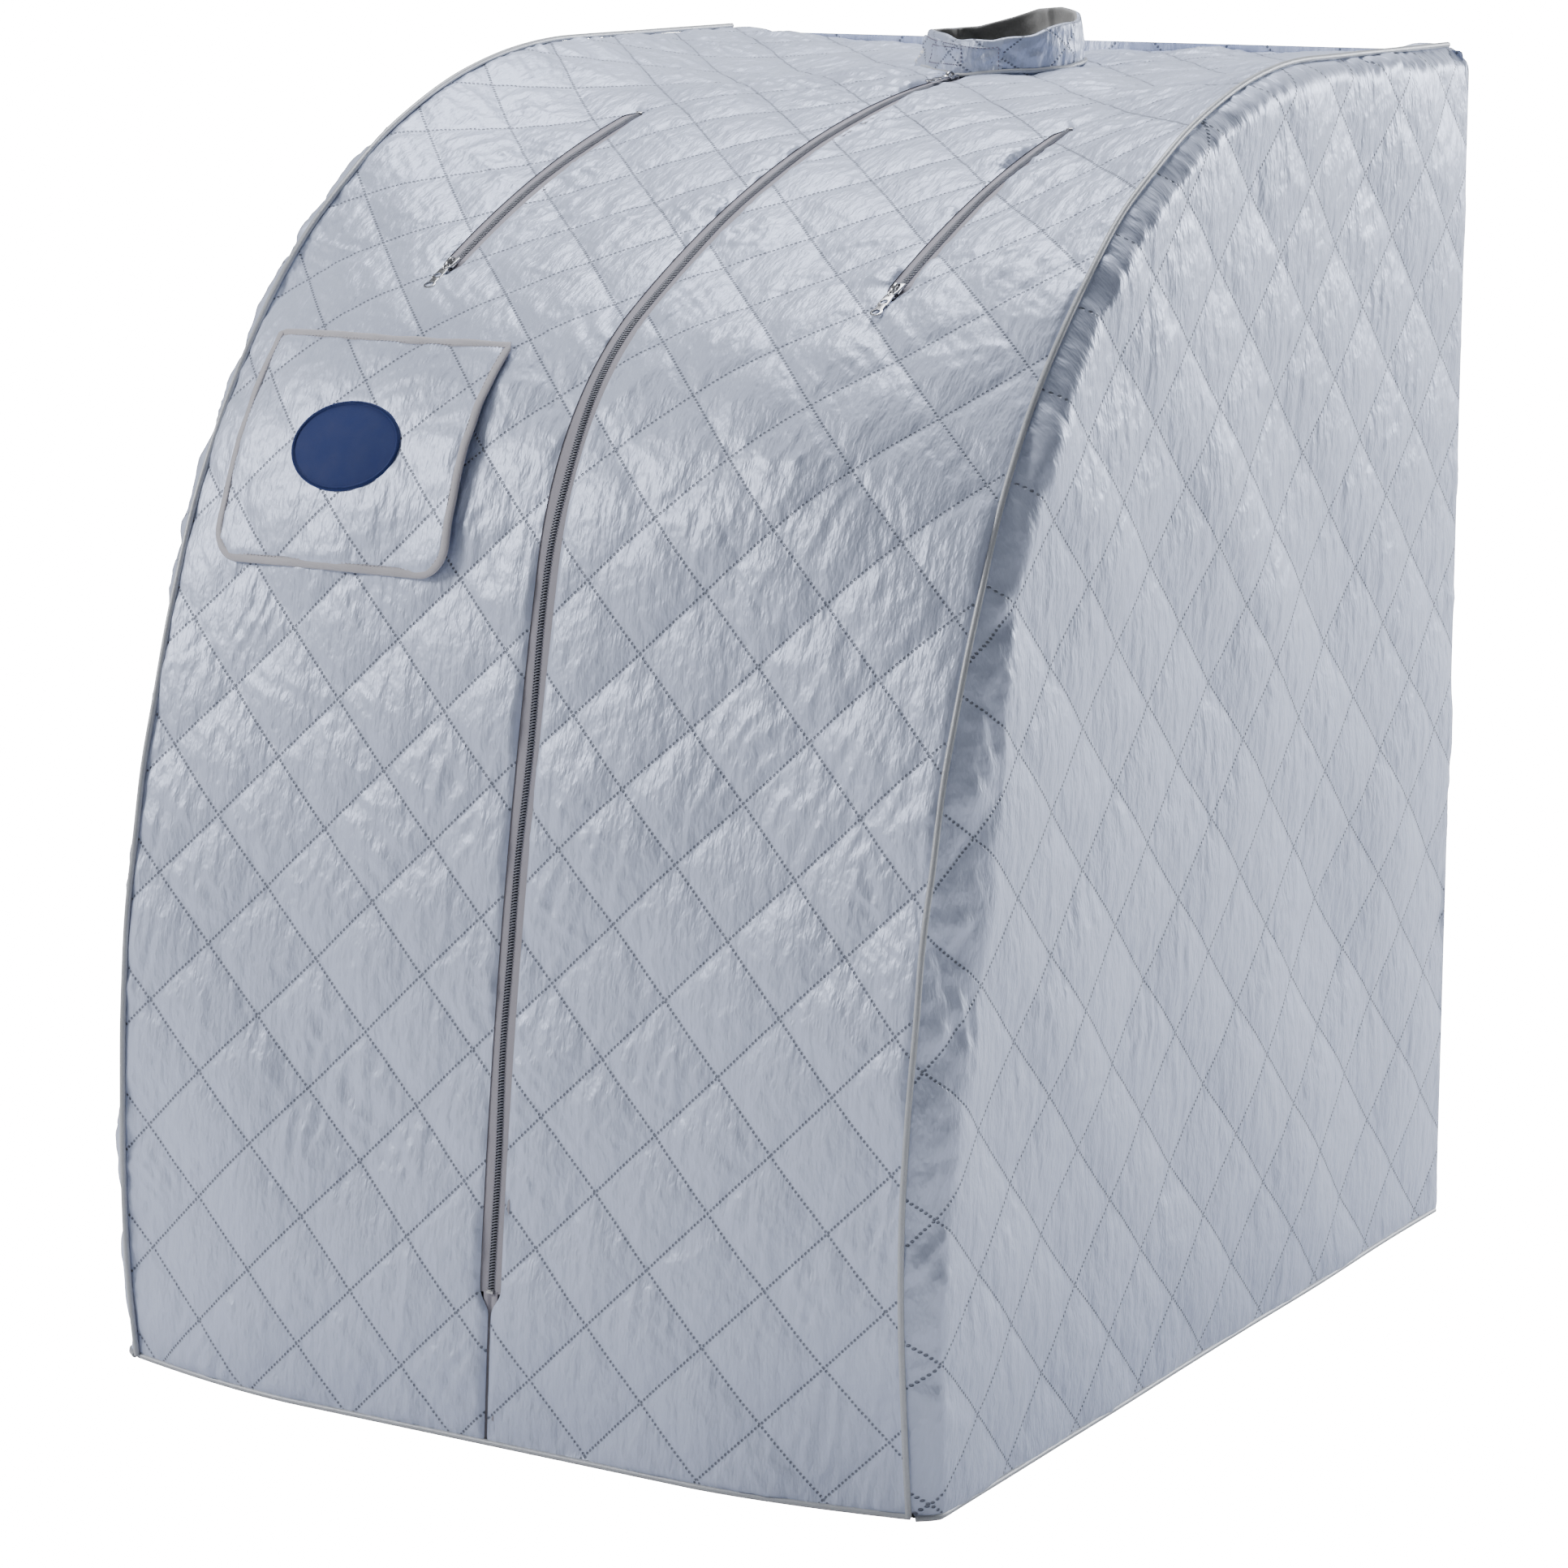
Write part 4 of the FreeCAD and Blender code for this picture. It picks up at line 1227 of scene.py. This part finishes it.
def pull_piece(name):
    """Pull: an eye round the bridge, a broad tab with a large hole, then a ring end."""
    tab = bar(name + "_tab", (0.0086, 0.0135, 0.0014), (0, -0.0160, PULL_N), 0.0006, 3)
    narrow(tab, -0.0225, -0.0095, 1.0, 0.82)
    ring = primitive(bpy.ops.mesh.primitive_cylinder_add, name + "_ring", vertices=48,
                     radius=0.0047, depth=0.0014, location=(0, -0.0312, PULL_N))
    modify(ring, "BEVEL", width=0.0004, segments=2)
    neck = bar(name + "_neck", (0.0062, 0.0100, 0.0013), (0, -0.0262, PULL_N), 0.0004)
    eye = primitive(bpy.ops.mesh.primitive_torus_add, name + "_eye", major_radius=0.0026,
                    minor_radius=0.0008, major_segments=32, minor_segments=10,
                    location=(0, -0.0072, 0.0031))
    for body, radius, s in ((tab, 0.0028, -0.0187), (ring, 0.0031, RING_S),
                            (neck, 0.0031, RING_S)):
        cutter = hole_cutter(radius, (0, s, PULL_N))
        modify(body, "BOOLEAN", operation="DIFFERENCE", object=cutter, solver="EXACT")
        bpy.data.objects.remove(cutter)
    link = bar(name + "_link", (0.0030, 0.0050, 0.0012), (0, -0.0100, 0.0031), 0.0004)
    piece = joined(name, [tab, ring, neck, eye, link])
    smooth(piece, 40)
    return piece


def zip_tapes(name, x, s0, s1):
    """The two tapes that a zip's rows are woven on to."""
    tapes = joined(name + "_tape_pair", [
        flat_strip(f"{name}_tape{k}", *sorted((x + side * TAPE_IN, x + side * TAPE_OUT)),
                   s0 + 0.0005, s1, -0.0008, across=5)
        for k, side in enumerate((1, -1))])
    wander(tapes, name, s0, s1)
    wrap(tapes)
    smooth(tapes, 60)
    hand_over(tapes, LOOKS["tape"], name + "_line", name + "_tapes")


def zip_rows(name, x, s0, s1, tooth):
    """The two rows of teeth, between the end stops."""
    rows = tooth_rows(name + "_teeth", x, s0 + ROW_END, s1 - ROW_END, tooth)
    wander(rows, name, s0, s1)
    wrap(rows)
    smooth(rows, 50)
    hand_over(rows, LOOKS["coil"], name + "_line", name + "_coils")


def zip_stops(name, x, s0, s1):
    stops = joined(name + "_end_stops", [
        bar(f"{name}_stop{k}", (0.0058, 0.0030, 0.0022), (x, s, 0.0), 0.0005)
        for k, s in enumerate((s0 + ROW_END / 2, s1 - ROW_END / 2))])
    wrap(stops)
    smooth(stops, 40)
    hand_over(stops, LOOKS["nickel"], name + "_line", name + "_stops")


def zip_slider(name, x, s0, s1):
    """Slider and pull, where the slider's CAD node stands on the line."""
    low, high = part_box(name + "_slider")
    at = MID.reach((low.y + high.y) / 2)
    sway = float(sway_of(name, np.array([at]), s0, s1)[0])
    for part, piece in (("_slider", slider_piece(name + "_slider_metal")),
                        ("_pull", pull_piece(name + "_pull_metal"))):
        on_line(piece, x + sway, at)
        hand_over(piece, LOOKS["nickel"], name + part, name + part)


class SAUNA_OT_zips(bpy.types.Operator):
    """Makes the three zips with their coils, sliders and pulls"""
    bl_idname = "sauna.zips"
    bl_label = "Zips"

    def execute(self, context):
        tooth = one_tooth()
        for name, x in ZIPS.items():
            s0, s1 = zip_span(name)
            zip_tapes(name, x, s0, s1)
            zip_rows(name, x, s0, s1, tooth)
            zip_stops(name, x, s0, s1)
            zip_slider(name, x, s0, s1)
        bpy.data.objects.remove(tooth)
        return {"FINISHED"}


# ---------------------------------------------------------------- threads and tapes

def swept(name, path, across, half_width, half_height, around=12):
    """A closed rounded band along a closed path of (x, s, n), across pointing to its side."""
    turn = np.linspace(0, 2 * math.pi, around, endpoint=False)
    side = np.cos(turn)[None, :, None] * half_width * across[:, None, :]
    up = np.sin(turn)[None, :, None] * np.array([0.0, 0.0, half_height])
    points = (path[:, None, :] + side + up).reshape(-1, 3)
    return mesh_piece(name, points, ring_faces(len(path), around))


def straight_up(path):
    """A direction away from flat cloth for each point of a path."""
    return np.zeros_like(path) + (0, 0, 1.0)


def at_spots(values, run, spots):
    """Values known at distances run along a path, at other distances along it."""
    return np.stack([np.interp(spots, run, values[:, k]) for k in range(3)], -1)


def thread(name, path, out, every, length, radius):
    """Separate stitches along a path of points, each a short rounded grain.

    out holds the direction away from the cloth at each point.
    """
    seg = np.linalg.norm(np.diff(path, axis=0), axis=1)
    run = np.concatenate([[0], np.cumsum(seg)])
    spots = np.arange(every / 2, run[-1], every)
    place, away = at_spots(path, run, spots), at_spots(out, run, spots)
    along = at_spots(path, run, spots + 1e-4) - at_spots(path, run, spots - 1e-4)
    along /= np.linalg.norm(along, axis=1, keepdims=True)
    beside = np.cross(along, away)
    grain = primitive(bpy.ops.mesh.primitive_uv_sphere_add, "grain", segments=6, ring_count=5,
                      radius=1.0)
    base = vertices_of(grain) * (length / 2, radius, radius)
    faces = [list(f.vertices) for f in grain.data.polygons]
    bpy.data.objects.remove(grain)
    points = (place[:, None] + base[None, :, 0:1] * along[:, None] + base[None, :, 1:2]
              * beside[:, None] + base[None, :, 2:3] * away[:, None]).reshape(-1, 3)
    polygons = [[i + k * len(base) for i in face] for k in range(len(spots)) for face in faces]
    piece = mesh_piece(name, points, polygons)
    smooth(piece)
    return piece


# ---------------------------------------------------------------- pocket

POCKET = (-0.302, -0.080, 0.606, 0.791)           # sides, foot and head, as (x, s)
POCKET_R = 0.026                                  # radius of its two lower corners
TAPE = 0.0072                                     # width of its binding
PATCH = (-0.191, 0.697, 0.048, 0.033)             # middle of the patch and its half axes


POCKET_N = 0.0042                                 # height of its face over the front cloth
MOUTH, MOUTH_N = 0.060, 0.0060                    # width and height of its open side's rise


def left_sway(u, v):
    """The slow waves of the left front cloth, which the pocket lies on."""
    return SWAY * waves(u, v, LEFT_SEED, SWAY_SIZE)


def pocket_rise(x, s):
    """Height of the pocket's face above the front cloth: its open side stands off."""
    _x0, x1, s0, s1 = POCKET
    out = np.clip((x - (x1 - MOUTH)) / MOUTH, 0, 1) ** 1.7
    down = 1 - np.clip((s - s0) / (s1 - s0), 0, 1) ** 3
    return POCKET_N + left_sway(x, s) + MOUTH_N * out * down


def pocket_outline(inset, step=0.004):
    """Points and inward directions round the pocket, inset from its edge, as (x, s)."""
    x0, x1, s0, s1 = np.array(POCKET) + (inset, -inset, inset, -inset)
    r = POCKET_R - inset
    points, inward = [], []

    def run(a, b, normal):
        a, b = np.array(a), np.array(b)
        count = max(2, int(np.linalg.norm(b - a) / step))
        for k in range(count):
            points.append(a + (b - a) * k / count)
            inward.append(normal)

    def corner(cx, cy, start):
        for k in range(10):
            t = start + math.pi / 2 * k / 10
            points.append(np.array([cx + r * math.cos(t), cy + r * math.sin(t)]))
            inward.append((-math.cos(t), -math.sin(t)))

    run((x0, s1), (x0, s0 + r), (1, 0))
    corner(x0 + r, s0 + r, math.pi)
    run((x0 + r, s0), (x1 - r, s0), (0, 1))
    corner(x1 - r, s0 + r, 1.5 * math.pi)
    run((x1, s0 + r), (x1, s1), (-1, 0))
    run((x1, s1), (x0, s1), (0, -1))
    return np.array(points), np.array(inward, float)


def in_pocket(u, v, inset):
    x0, x1, s0, s1 = POCKET
    r = POCKET_R
    box = (u > x0 + inset) & (u < x1 - inset) & (v > s0 + inset) & (v < s1 - inset)
    near = np.minimum(u - x0, x1 - u)
    low = v - s0
    corner = (near < r) & (low < r) & ((near - r) ** 2 + (low - r) ** 2 > (r - inset) ** 2)
    return box & ~corner


def under_patch(u, v):
    """True under the patch and just round it, where the pocket's face stays flat."""
    cx, cs, a, b = PATCH
    return ((u - cx) / a) ** 2 + ((v - cs) / b) ** 2 < 1.02 ** 2


def pocket_panel(cloth):
    """Quilted face of the pocket."""
    inset = TAPE * 0.45
    x0, x1, s0, s1 = POCKET
    step = sheet_step(POCKET_QUILT, 9)
    us = POCKET_QUILT.lines(x0 + inset, x1 - inset, 0, step)
    vs = POCKET_QUILT.lines(s0 + inset, s1 - inset, 1, step)

    def face(u, v):
        return on_roof(u, v, pocket_rise(u, v))

    piece = quilted_sheet("pocket_panel_cloth", POCKET_QUILT, us, vs, face, cloth.puff * 0.8, 71,
                          inside=lambda u, v: in_pocket(u, v, inset * 0.8),
                          held=under_patch, sway=0.0)
    billow(piece, (cloth.growth * 0.5, cloth.growth * 0.5), cloth.pressure * 0.6)
    subdivide(piece)
    crease(piece, POCKET_QUILT, 91, ((0.0004, 0.05, 0.012, 0.3, 0.1),
                                     (0.0003, 0.04, 0.012, 1.3, 0.1)), under_patch)
    thicken(piece, 0.0018)
    smooth(piece)
    hand_over(piece, LOOKS["cloth_pocket"], "right_side", "pocket_panel")
    crumple(piece)


def pocket_binding():
    """Tape folded over the pocket's edge, with its stitching."""
    spots, inward = pocket_outline(TAPE / 2)
    rise = pocket_rise(*spots.T) + 0.0004 * waves(*spots.T, 4, 0.03)
    path = np.concatenate([spots, rise[:, None]], 1)
    across = np.concatenate([inward, np.zeros((len(inward), 1))], 1)
    tape = swept("pocket_tape", path, across, TAPE / 2, 0.0017)
    row, _inward = pocket_outline(TAPE * 0.86, 0.002)
    line = np.concatenate([row, (pocket_rise(*row.T) + 0.0012)[:, None]], 1)
    stitches = thread("pocket_stitches", line, straight_up(line), 0.0034, 0.0025, 0.00045)
    piece = joined("pocket_binding_tape", [tape, stitches])
    wrap(piece)
    smooth(piece, 60)
    hand_over(piece, LOOKS["binding"], "right_side", "pocket_binding")
    crumple(piece)


def pocket_patch():
    """Plain woven oval with an overlocked rim."""
    cx, cs, a, b = PATCH
    spokes, rings = 96, 10
    turn = np.linspace(0, 2 * math.pi, spokes, endpoint=False)
    share = np.linspace(0, 0.97, rings + 1)[1:]
    x = np.concatenate([[cx], (cx + a * share[:, None] * np.cos(turn)).ravel()])
    s = np.concatenate([[cs], (cs + b * share[:, None] * np.sin(turn)).ravel()])
    far = np.concatenate([[0], np.repeat(share, spokes)])
    n = pocket_rise(x, s) + 0.0012 + 0.0009 * (1 - far ** 2)
    faces = [[0, 1 + k, 1 + (k + 1) % spokes] for k in range(spokes)]
    for ring in range(rings - 1):
        for k in range(spokes):
            low, high = 1 + ring * spokes, 1 + (ring + 1) * spokes
            nxt = (k + 1) % spokes
            faces.append([low + k, high + k, high + nxt, low + nxt])
    face = mesh_piece("patch_face", np.stack([x, s, n], -1), faces)
    thicken(face, 0.0010)
    rim = np.stack([cx + a * np.cos(turn), cs + b * np.sin(turn)], -1)
    height = pocket_rise(*rim.T) + 0.0012
    path = np.concatenate([rim, height[:, None]], 1)
    across = np.stack([np.cos(turn), np.sin(turn), turn * 0], -1)
    edge = swept("patch_edge", path, across, 0.0017, 0.0011, 10)
    closed = np.concatenate([path, path[:1]], 0) + (0, 0, 0.0002)
    over = thread("patch_rim", closed, straight_up(closed), 0.0011, 0.0010, 0.0013)
    piece = joined("pocket_patch_oval", [face, edge, over])
    wrap(piece)
    smooth(piece, 50)
    hand_over(piece, LOOKS["patch"], "right_side", "pocket_patch")
    crumple(piece)


class SAUNA_OT_pocket(bpy.types.Operator):
    """Makes the pocket, its binding and its oval patch"""
    bl_idname = "sauna.pocket"
    bl_label = "Pocket"

    def execute(self, context):
        pocket_panel(context.scene.sauna_cloth)
        pocket_binding()
        pocket_patch()
        return {"FINISHED"}


# ---------------------------------------------------------------- collar

COLLAR_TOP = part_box("collar_band")[1].z
COLLAR_MID = COLLAR_R - 0.0035                    # radius of the band's middle

# Height of the rim against the collar's top, from its left end (-1) to its right end (1):
# the back stands up, the front hangs lower, and at the left both have fallen together.
RIM_AT = (-1.0, -0.6, -0.3, 0.0, 0.4, 0.8, 1.0)
RIM_BACK = (-0.013, -0.011, -0.005, 0.002, 0.004, 0.001, -0.005)
RIM_FRONT = (-0.013, -0.013, -0.015, -0.018, -0.0185, -0.012, -0.005)


def roof_height(y):
    rising = MID.s > RISING
    return np.interp(y, MID.y[rising], MID.z[rising])


def collar_spot(turn, height, off):
    """Points of the collar at that turn (0 at +X), height share and distance outward.

    The foot is round, and higher up the left part falls together.
    """
    c, s = np.cos(turn), np.sin(turn)
    left = np.clip(-c, 0, 1) ** 1.3
    squeeze = 1 - 0.72 * left * height ** 0.35
    lean = 0.0016 * height * waves(turn, turn * 0, 21, 1.3)
    r = COLLAR_MID + lean
    x = (r + off) * c
    y = COLLAR.y + r * s * squeeze + off * s
    foot = roof_height(COLLAR.y + COLLAR_MID * s) - 0.002
    rim = np.where(s > 0, np.interp(c, RIM_AT, RIM_BACK), np.interp(c, RIM_AT, RIM_FRONT))
    top = COLLAR_TOP + rim + 0.0010 * waves(turn, turn * 0, 22, 0.6) * np.clip(-s, 0, 1)
    return np.stack([x, y, foot + (top - foot) * height], -1)


COLLAR_HALF = 0.0030                              # half the band's thickness
BAND_POINTS, WALL_POINTS = 200, 32                # points round the neck and round the wall
WALL_UP, WALL_DOWN = 0.42, 0.58                   # shares of the wall's outline: up, down
FOLD_TURNS = (0.42, 0.80)                         # where the lining folds, in half turns


def collar_wall():
    """Height, distance outward and bend round the band's wall: up outside, down inside."""
    t = np.linspace(0, 1, WALL_POINTS, endpoint=False)
    up = np.clip(t / WALL_UP, 0, 1)
    down = np.clip((t - WALL_DOWN) / WALL_UP, 0, 1)
    bend = np.clip((t - WALL_UP) / 0.16, 0, 1) * math.pi
    over = 1 + 0.06 * np.sin(bend)
    height = np.where(t < WALL_UP, up, np.where(t > WALL_DOWN, 1 - down, over))
    outward = COLLAR_HALF * np.cos(bend)
    outward = outward + np.where(t < WALL_UP, 0.0012 * np.sin(math.pi * up), 0.0)
    return height, outward, bend


def collar_grid():
    """Turn round the neck, height, distance outward and bend of each point of the band."""
    turn = np.linspace(0, 2 * math.pi, BAND_POINTS, endpoint=False)[:, None]
    shape = (BAND_POINTS, WALL_POINTS)
    return [np.broadcast_to(values, shape) for values in (turn, *collar_wall())]


def collar_band():
    """Padded band round the neck opening, its lining inside and the piping at its foot."""
    turn, height, outward, bend = collar_grid()
    low = np.clip(height, 0, 1)
    ripples = 0.0007 * waves(turn * 0.064, height * 0.04, 23, 0.014)
    ripples *= np.sin(math.pi * low) ** 0.5
    gathers = 0.0008 * np.sin(turn * 47 + 2 * np.sin(turn * 5)) * np.exp(-height / 0.25)
    folds = np.zeros_like(turn)
    for place in FOLD_TURNS:
        folds -= 0.0045 * np.exp(-((turn / math.pi - place) / 0.018) ** 2)
    outside = np.cos(bend) > 0
    outward = outward + np.where(outside, ripples + gathers, ripples * 1.5 + folds * low)
    points = collar_spot(turn.ravel(), np.clip(height, 0, 1.1).ravel(), outward.ravel())
    uv = np.stack([turn.ravel() * 0.064, height.ravel() * 0.042], -1)
    faces = ring_faces(BAND_POINTS, WALL_POINTS)[:, [0, 3, 2, 1]]
    band = mesh_piece("collar_shell", points, faces, uv)
    subdivide(band)
    smooth(band)
    band.data.materials.append(LOOKS["collar"])
    band.data.materials.append(LOOKS["lining"])
    middles = np.array([polygon.center.xy for polygon in band.data.polygons])
    facing = np.array([polygon.normal.xy for polygon in band.data.polygons])
    lining = ((middles - (0, COLLAR.y)) * facing).sum(1) < -0.012
    band.data.polygons.foreach_set("material_index", lining.astype(np.int32))

    round_it = np.linspace(0, 2 * math.pi, 160)
    foot = collar_spot(round_it, round_it * 0 + 0.16, round_it * 0 + 0.0050)
    foot[:, 2] += 0.0010 * waves(round_it, round_it * 0, 24, 0.7)
    cord = cord_along("collar_cord", foot, 0.0019)
    cord.data.materials.append(LOOKS["piping"])
    piece = joined("collar_band_padded", [band, cord])
    give(piece, "main_zip_line", "collar_band")


TAB_TURN = (math.radians(-60), math.radians(-152))
TAB_LENGTH = 0.1                                  # about its length round the collar


def tab_spot(u, h, off=0.0):
    """Points of the lapping tab: u along it from its sewn edge, h up it, off outside it."""
    turn = TAB_TURN[0] + (TAB_TURN[1] - TAB_TURN[0]) * u
    curl = np.clip((u - 0.86) / 0.14, 0, 1) ** 1.6
    lift = 0.0060 + 0.0006 * waves(u, h * 0.4, 33, 0.25) + curl * 0.0040 * (1.4 - h)
    point = collar_spot(turn, 0.10 + 0.86 * h, lift + off)
    point[..., 2] -= 0.0012
    return point


def collar_tab():
    """Tab with its stitched hook-and-loop panel, and fleece at its end."""
    us, hs = np.linspace(0, 1, 60), np.linspace(0, 1, 26)
    u, h = grid(us, hs)
    dent = 0.0006 * waves(u * TAB_LENGTH, h * 0.04, 34, 0.016)
    points = tab_spot(u, h, dent)
    faces = grid_faces(len(us), len(hs))[:, ::-1]
    cloth = mesh_piece("tab_cloth", points, faces, np.stack([u * TAB_LENGTH, h * 0.036], -1))
    thicken(cloth, 0.0030)
    modify(cloth, "BEVEL", width=0.0008, segments=2)
    subdivide(cloth)
    smooth(cloth)
    cloth.data.materials.append(LOOKS["collar"])

    def row(corners):
        path = []
        for (u0, h0), (u1, h1) in zip(corners[:-1], corners[1:]):
            for k in range(14):
                path.append((u0 + (u1 - u0) * k / 14, h0 + (h1 - h0) * k / 14))
        path = np.array(path + [corners[-1]])
        on = tab_spot(path[:, 0], path[:, 1], 0.0004)
        out = tab_spot(path[:, 0], path[:, 1], 0.0014) - on
        return on, out / np.linalg.norm(out, axis=1, keepdims=True)

    hook = [(0.30, 0.36), (0.74, 0.30), (0.74, 0.80), (0.30, 0.86), (0.30, 0.36)]
    rows = [thread(f"tab_stitches{k}", *row(line), 0.0032, 0.0024, 0.00055) for k, line in
            enumerate((hook, [(0.03, 0.04), (0.03, 0.96)], [(0.03, 0.94), (0.95, 0.94)]))]
    for line in rows:
        line.data.materials.append(LOOKS["thread"])

    piece = joined("collar_tab_lapped", [cloth, *rows, tab_fluff()])
    give(piece, "collar_tab", "collar_tab")


def tab_fluff():
    """The fleece of the hook-and-loop, which shows as tufts at the tab's end."""
    rng = np.random.default_rng(35)
    tufts = []
    for k in range(46):
        u, h = rng.uniform(0.955, 1.0), rng.uniform(0.10, 0.62)
        at = tab_spot(np.array([u]), np.array([h]), np.array([rng.uniform(-0.0034, -0.0006)]))[0]
        size = rng.uniform(0.0008, 0.0017)
        tuft = primitive(bpy.ops.mesh.primitive_ico_sphere_add, f"tuft{k}", subdivisions=2,
                         radius=size, location=at)
        tuft.data.materials.append(LOOKS["fleece"])
        tufts.append(tuft)
    fluff = joined("tab_fluff", tufts)
    co = vertices_of(fluff)
    set_vertices(fluff, co + rng.normal(0, 0.00022, co.shape))
    smooth(fluff)
    return fluff


class SAUNA_OT_collar(bpy.types.Operator):
    """Makes the neck collar and its lapping tab"""
    bl_idname = "sauna.collar"
    bl_label = "Collar"

    def execute(self, context):
        collar_band()
        collar_tab()
        return {"FINISHED"}


# ---------------------------------------------------------------- floor cloth and frame

def floor_cloth():
    """Waterproof floor sheet between the walls."""
    low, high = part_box("floor_panel")
    us = np.linspace(low.x, high.x, 90)
    vs = np.linspace(low.y, high.y, 110)
    u, v = grid(us, vs)
    z = high.z - 0.0015 + 0.0008 * waves(u, v, 41, 0.12)
    front = on_roof(u, np.zeros_like(u))[:, 1] + 0.006
    y = front + (BACK_Y - 0.008 - front) * (v - low.y) / (high.y - low.y)
    piece = mesh_piece("floor_sheet", np.stack([u * 0.985, y, z], -1), grid_faces(len(us), len(vs)),
                       np.stack([u, v], -1))
    thicken(piece, 0.0015)
    smooth(piece)
    hand_over(piece, LOOKS["floor"], "right_side", "floor_panel")
    crumple(piece)


FRAME_LOOKS = {                                   # start of a node's name, and its finish
    "front_post": "paint", "roof_tube": "paint", "back_post": "paint", "base_rail": "paint",
    "frame_elbows": "plastic", "frame_ties": "tie", "pivot_brackets": "plastic",
    "steam_inlet": "plastic"}
SPREADERS = ("back_middle", "back_bottom", "back_top", "front_bottom")


class SAUNA_OT_frame(bpy.types.Operator):
    """Makes the floor sheet and finishes the frame that the cloth hides"""
    bl_idname = "sauna.frame"
    bl_label = "Floor and frame"

    def execute(self, context):
        floor_cloth()
        for name in SPREADERS:
            for part, look in (("_bar_right", "paint"), ("_bar_left", "paint"), ("_pin", "steel")):
                dress(name + part, look)
        for start, look in FRAME_LOOKS.items():
            for piece in [o for o in bpy.data.objects if o.name.startswith(start)]:
                dress(piece.name, look)
        return {"FINISHED"}


def dress(node, look):
    """Gives a CAD node that stays its finish."""
    piece = bpy.data.objects[node]
    piece.data.materials.clear()
    piece.data.materials.append(LOOKS[look])


# ---------------------------------------------------------------- stage

LAMPS = (                                         # name, place, size, watts, colour
    ("key", (-3.2, -2.6, 2.6), 1.6, 150, (1.0, 0.995, 0.99)),
    ("top", (-0.4, 1.0, 3.6), 1.8, 110, (0.97, 0.98, 1.0)),
    ("side", (2.6, 4.8, 1.9), 1.8, 290, (0.97, 0.985, 1.0)))
AIM = (0, 0, 0.5)                                 # what the lamps point at
FLOOR_GLOW, SKY_GLOW = 20.0, 30.0                 # as the camera sees them
SKY_LIGHT = 0.14                                  # as the cabin is lit by the sky


def turn_to(holder, direction):
    """Turns a camera or a lamp to look along a direction."""
    holder.rotation_mode = "QUATERNION"
    holder.rotation_quaternion = direction.to_track_quat("-Z", "Y")


class SAUNA_OT_stage(bpy.types.Operator):
    """Sets up the floor, the camera and soft light"""
    bl_idname = "sauna.stage"
    bl_label = "Stage"

    def execute(self, context):
        stage = context.scene.sauna_stage
        a, e = math.radians(stage.azimuth), math.radians(stage.elevation)
        look = Vector((-math.sin(a) * math.cos(e), math.cos(a) * math.cos(e), -math.sin(e)))
        data = bpy.data.cameras.new("camera")
        data.lens = stage.lens
        data.sensor_width = 36.0
        camera = bpy.data.objects.new("camera", data)
        context.scene.collection.objects.link(camera)
        camera.location = stage.camera_at
        turn_to(camera, look)
        context.scene.camera = camera

        floor = primitive(bpy.ops.mesh.primitive_plane_add, "floor", size=60.0)
        material, build, shader = material_of("pale_floor", (0.92, 0.92, 0.93), 0.8)
        seen = build.add("ShaderNodeLightPath").outputs["Is Camera Ray"]
        build.join(build.math("MULTIPLY", seen, FLOOR_GLOW), shader.inputs["Emission Strength"])
        shader.inputs["Emission Color"].default_value = (1, 1, 1, 1)
        floor.data.materials.append(material)

        world = bpy.data.worlds.new("studio")
        context.scene.world = world
        world.use_nodes = True
        build = Shade(world.node_tree)
        sky = world.node_tree.nodes["Background"]
        sky.inputs["Color"].default_value = (0.93, 0.96, 1.0, 1)
        seen = build.add("ShaderNodeLightPath").outputs["Is Camera Ray"]
        build.join(build.between(seen, SKY_LIGHT, SKY_GLOW), sky.inputs["Strength"])
        for name, at, size, power, color in LAMPS:
            lamp = bpy.data.lights.new(name, "AREA")
            lamp.size = size
            lamp.energy = power
            lamp.color = color
            holder = bpy.data.objects.new(name, lamp)
            context.scene.collection.objects.link(holder)
            holder.location = at
            turn_to(holder, Vector(AIM) - Vector(at))
        return {"FINISHED"}


class SAUNA_PT_panel(bpy.types.Panel):
    """Lists the settings and the steps in the sidebar"""
    bl_label = "Steam sauna"
    bl_idname = "SAUNA_PT_panel"
    bl_space_type = "VIEW_3D"
    bl_region_type = "UI"
    bl_category = "Sauna"

    def draw(self, context):
        for group in (context.scene.sauna_cloth, context.scene.sauna_stage):
            box = self.layout.box()
            for key in group.bl_rna.properties.keys():
                if key not in ("rna_type", "name"):
                    box.prop(group, key)
        for step in STEPS:
            self.layout.operator(step.bl_idname)


STEPS = (SAUNA_OT_materials, SAUNA_OT_stage, SAUNA_OT_cloth, SAUNA_OT_seams, SAUNA_OT_zips,
         SAUNA_OT_pocket, SAUNA_OT_collar, SAUNA_OT_frame)
CLASSES = (SaunaCloth, SaunaStage, *STEPS, SAUNA_PT_panel)


def register():
    for made in CLASSES:
        bpy.utils.register_class(made)
    bpy.types.Scene.sauna_cloth = PointerProperty(type=SaunaCloth)
    bpy.types.Scene.sauna_stage = PointerProperty(type=SaunaStage)


def unregister():
    del bpy.types.Scene.sauna_cloth
    del bpy.types.Scene.sauna_stage
    for made in reversed(CLASSES):
        bpy.utils.unregister_class(made)


def main():
    register()
    for step in STEPS:
        getattr(bpy.ops.sauna, step.bl_idname.split(".")[1])()


if __name__ == "__main__":
    main()
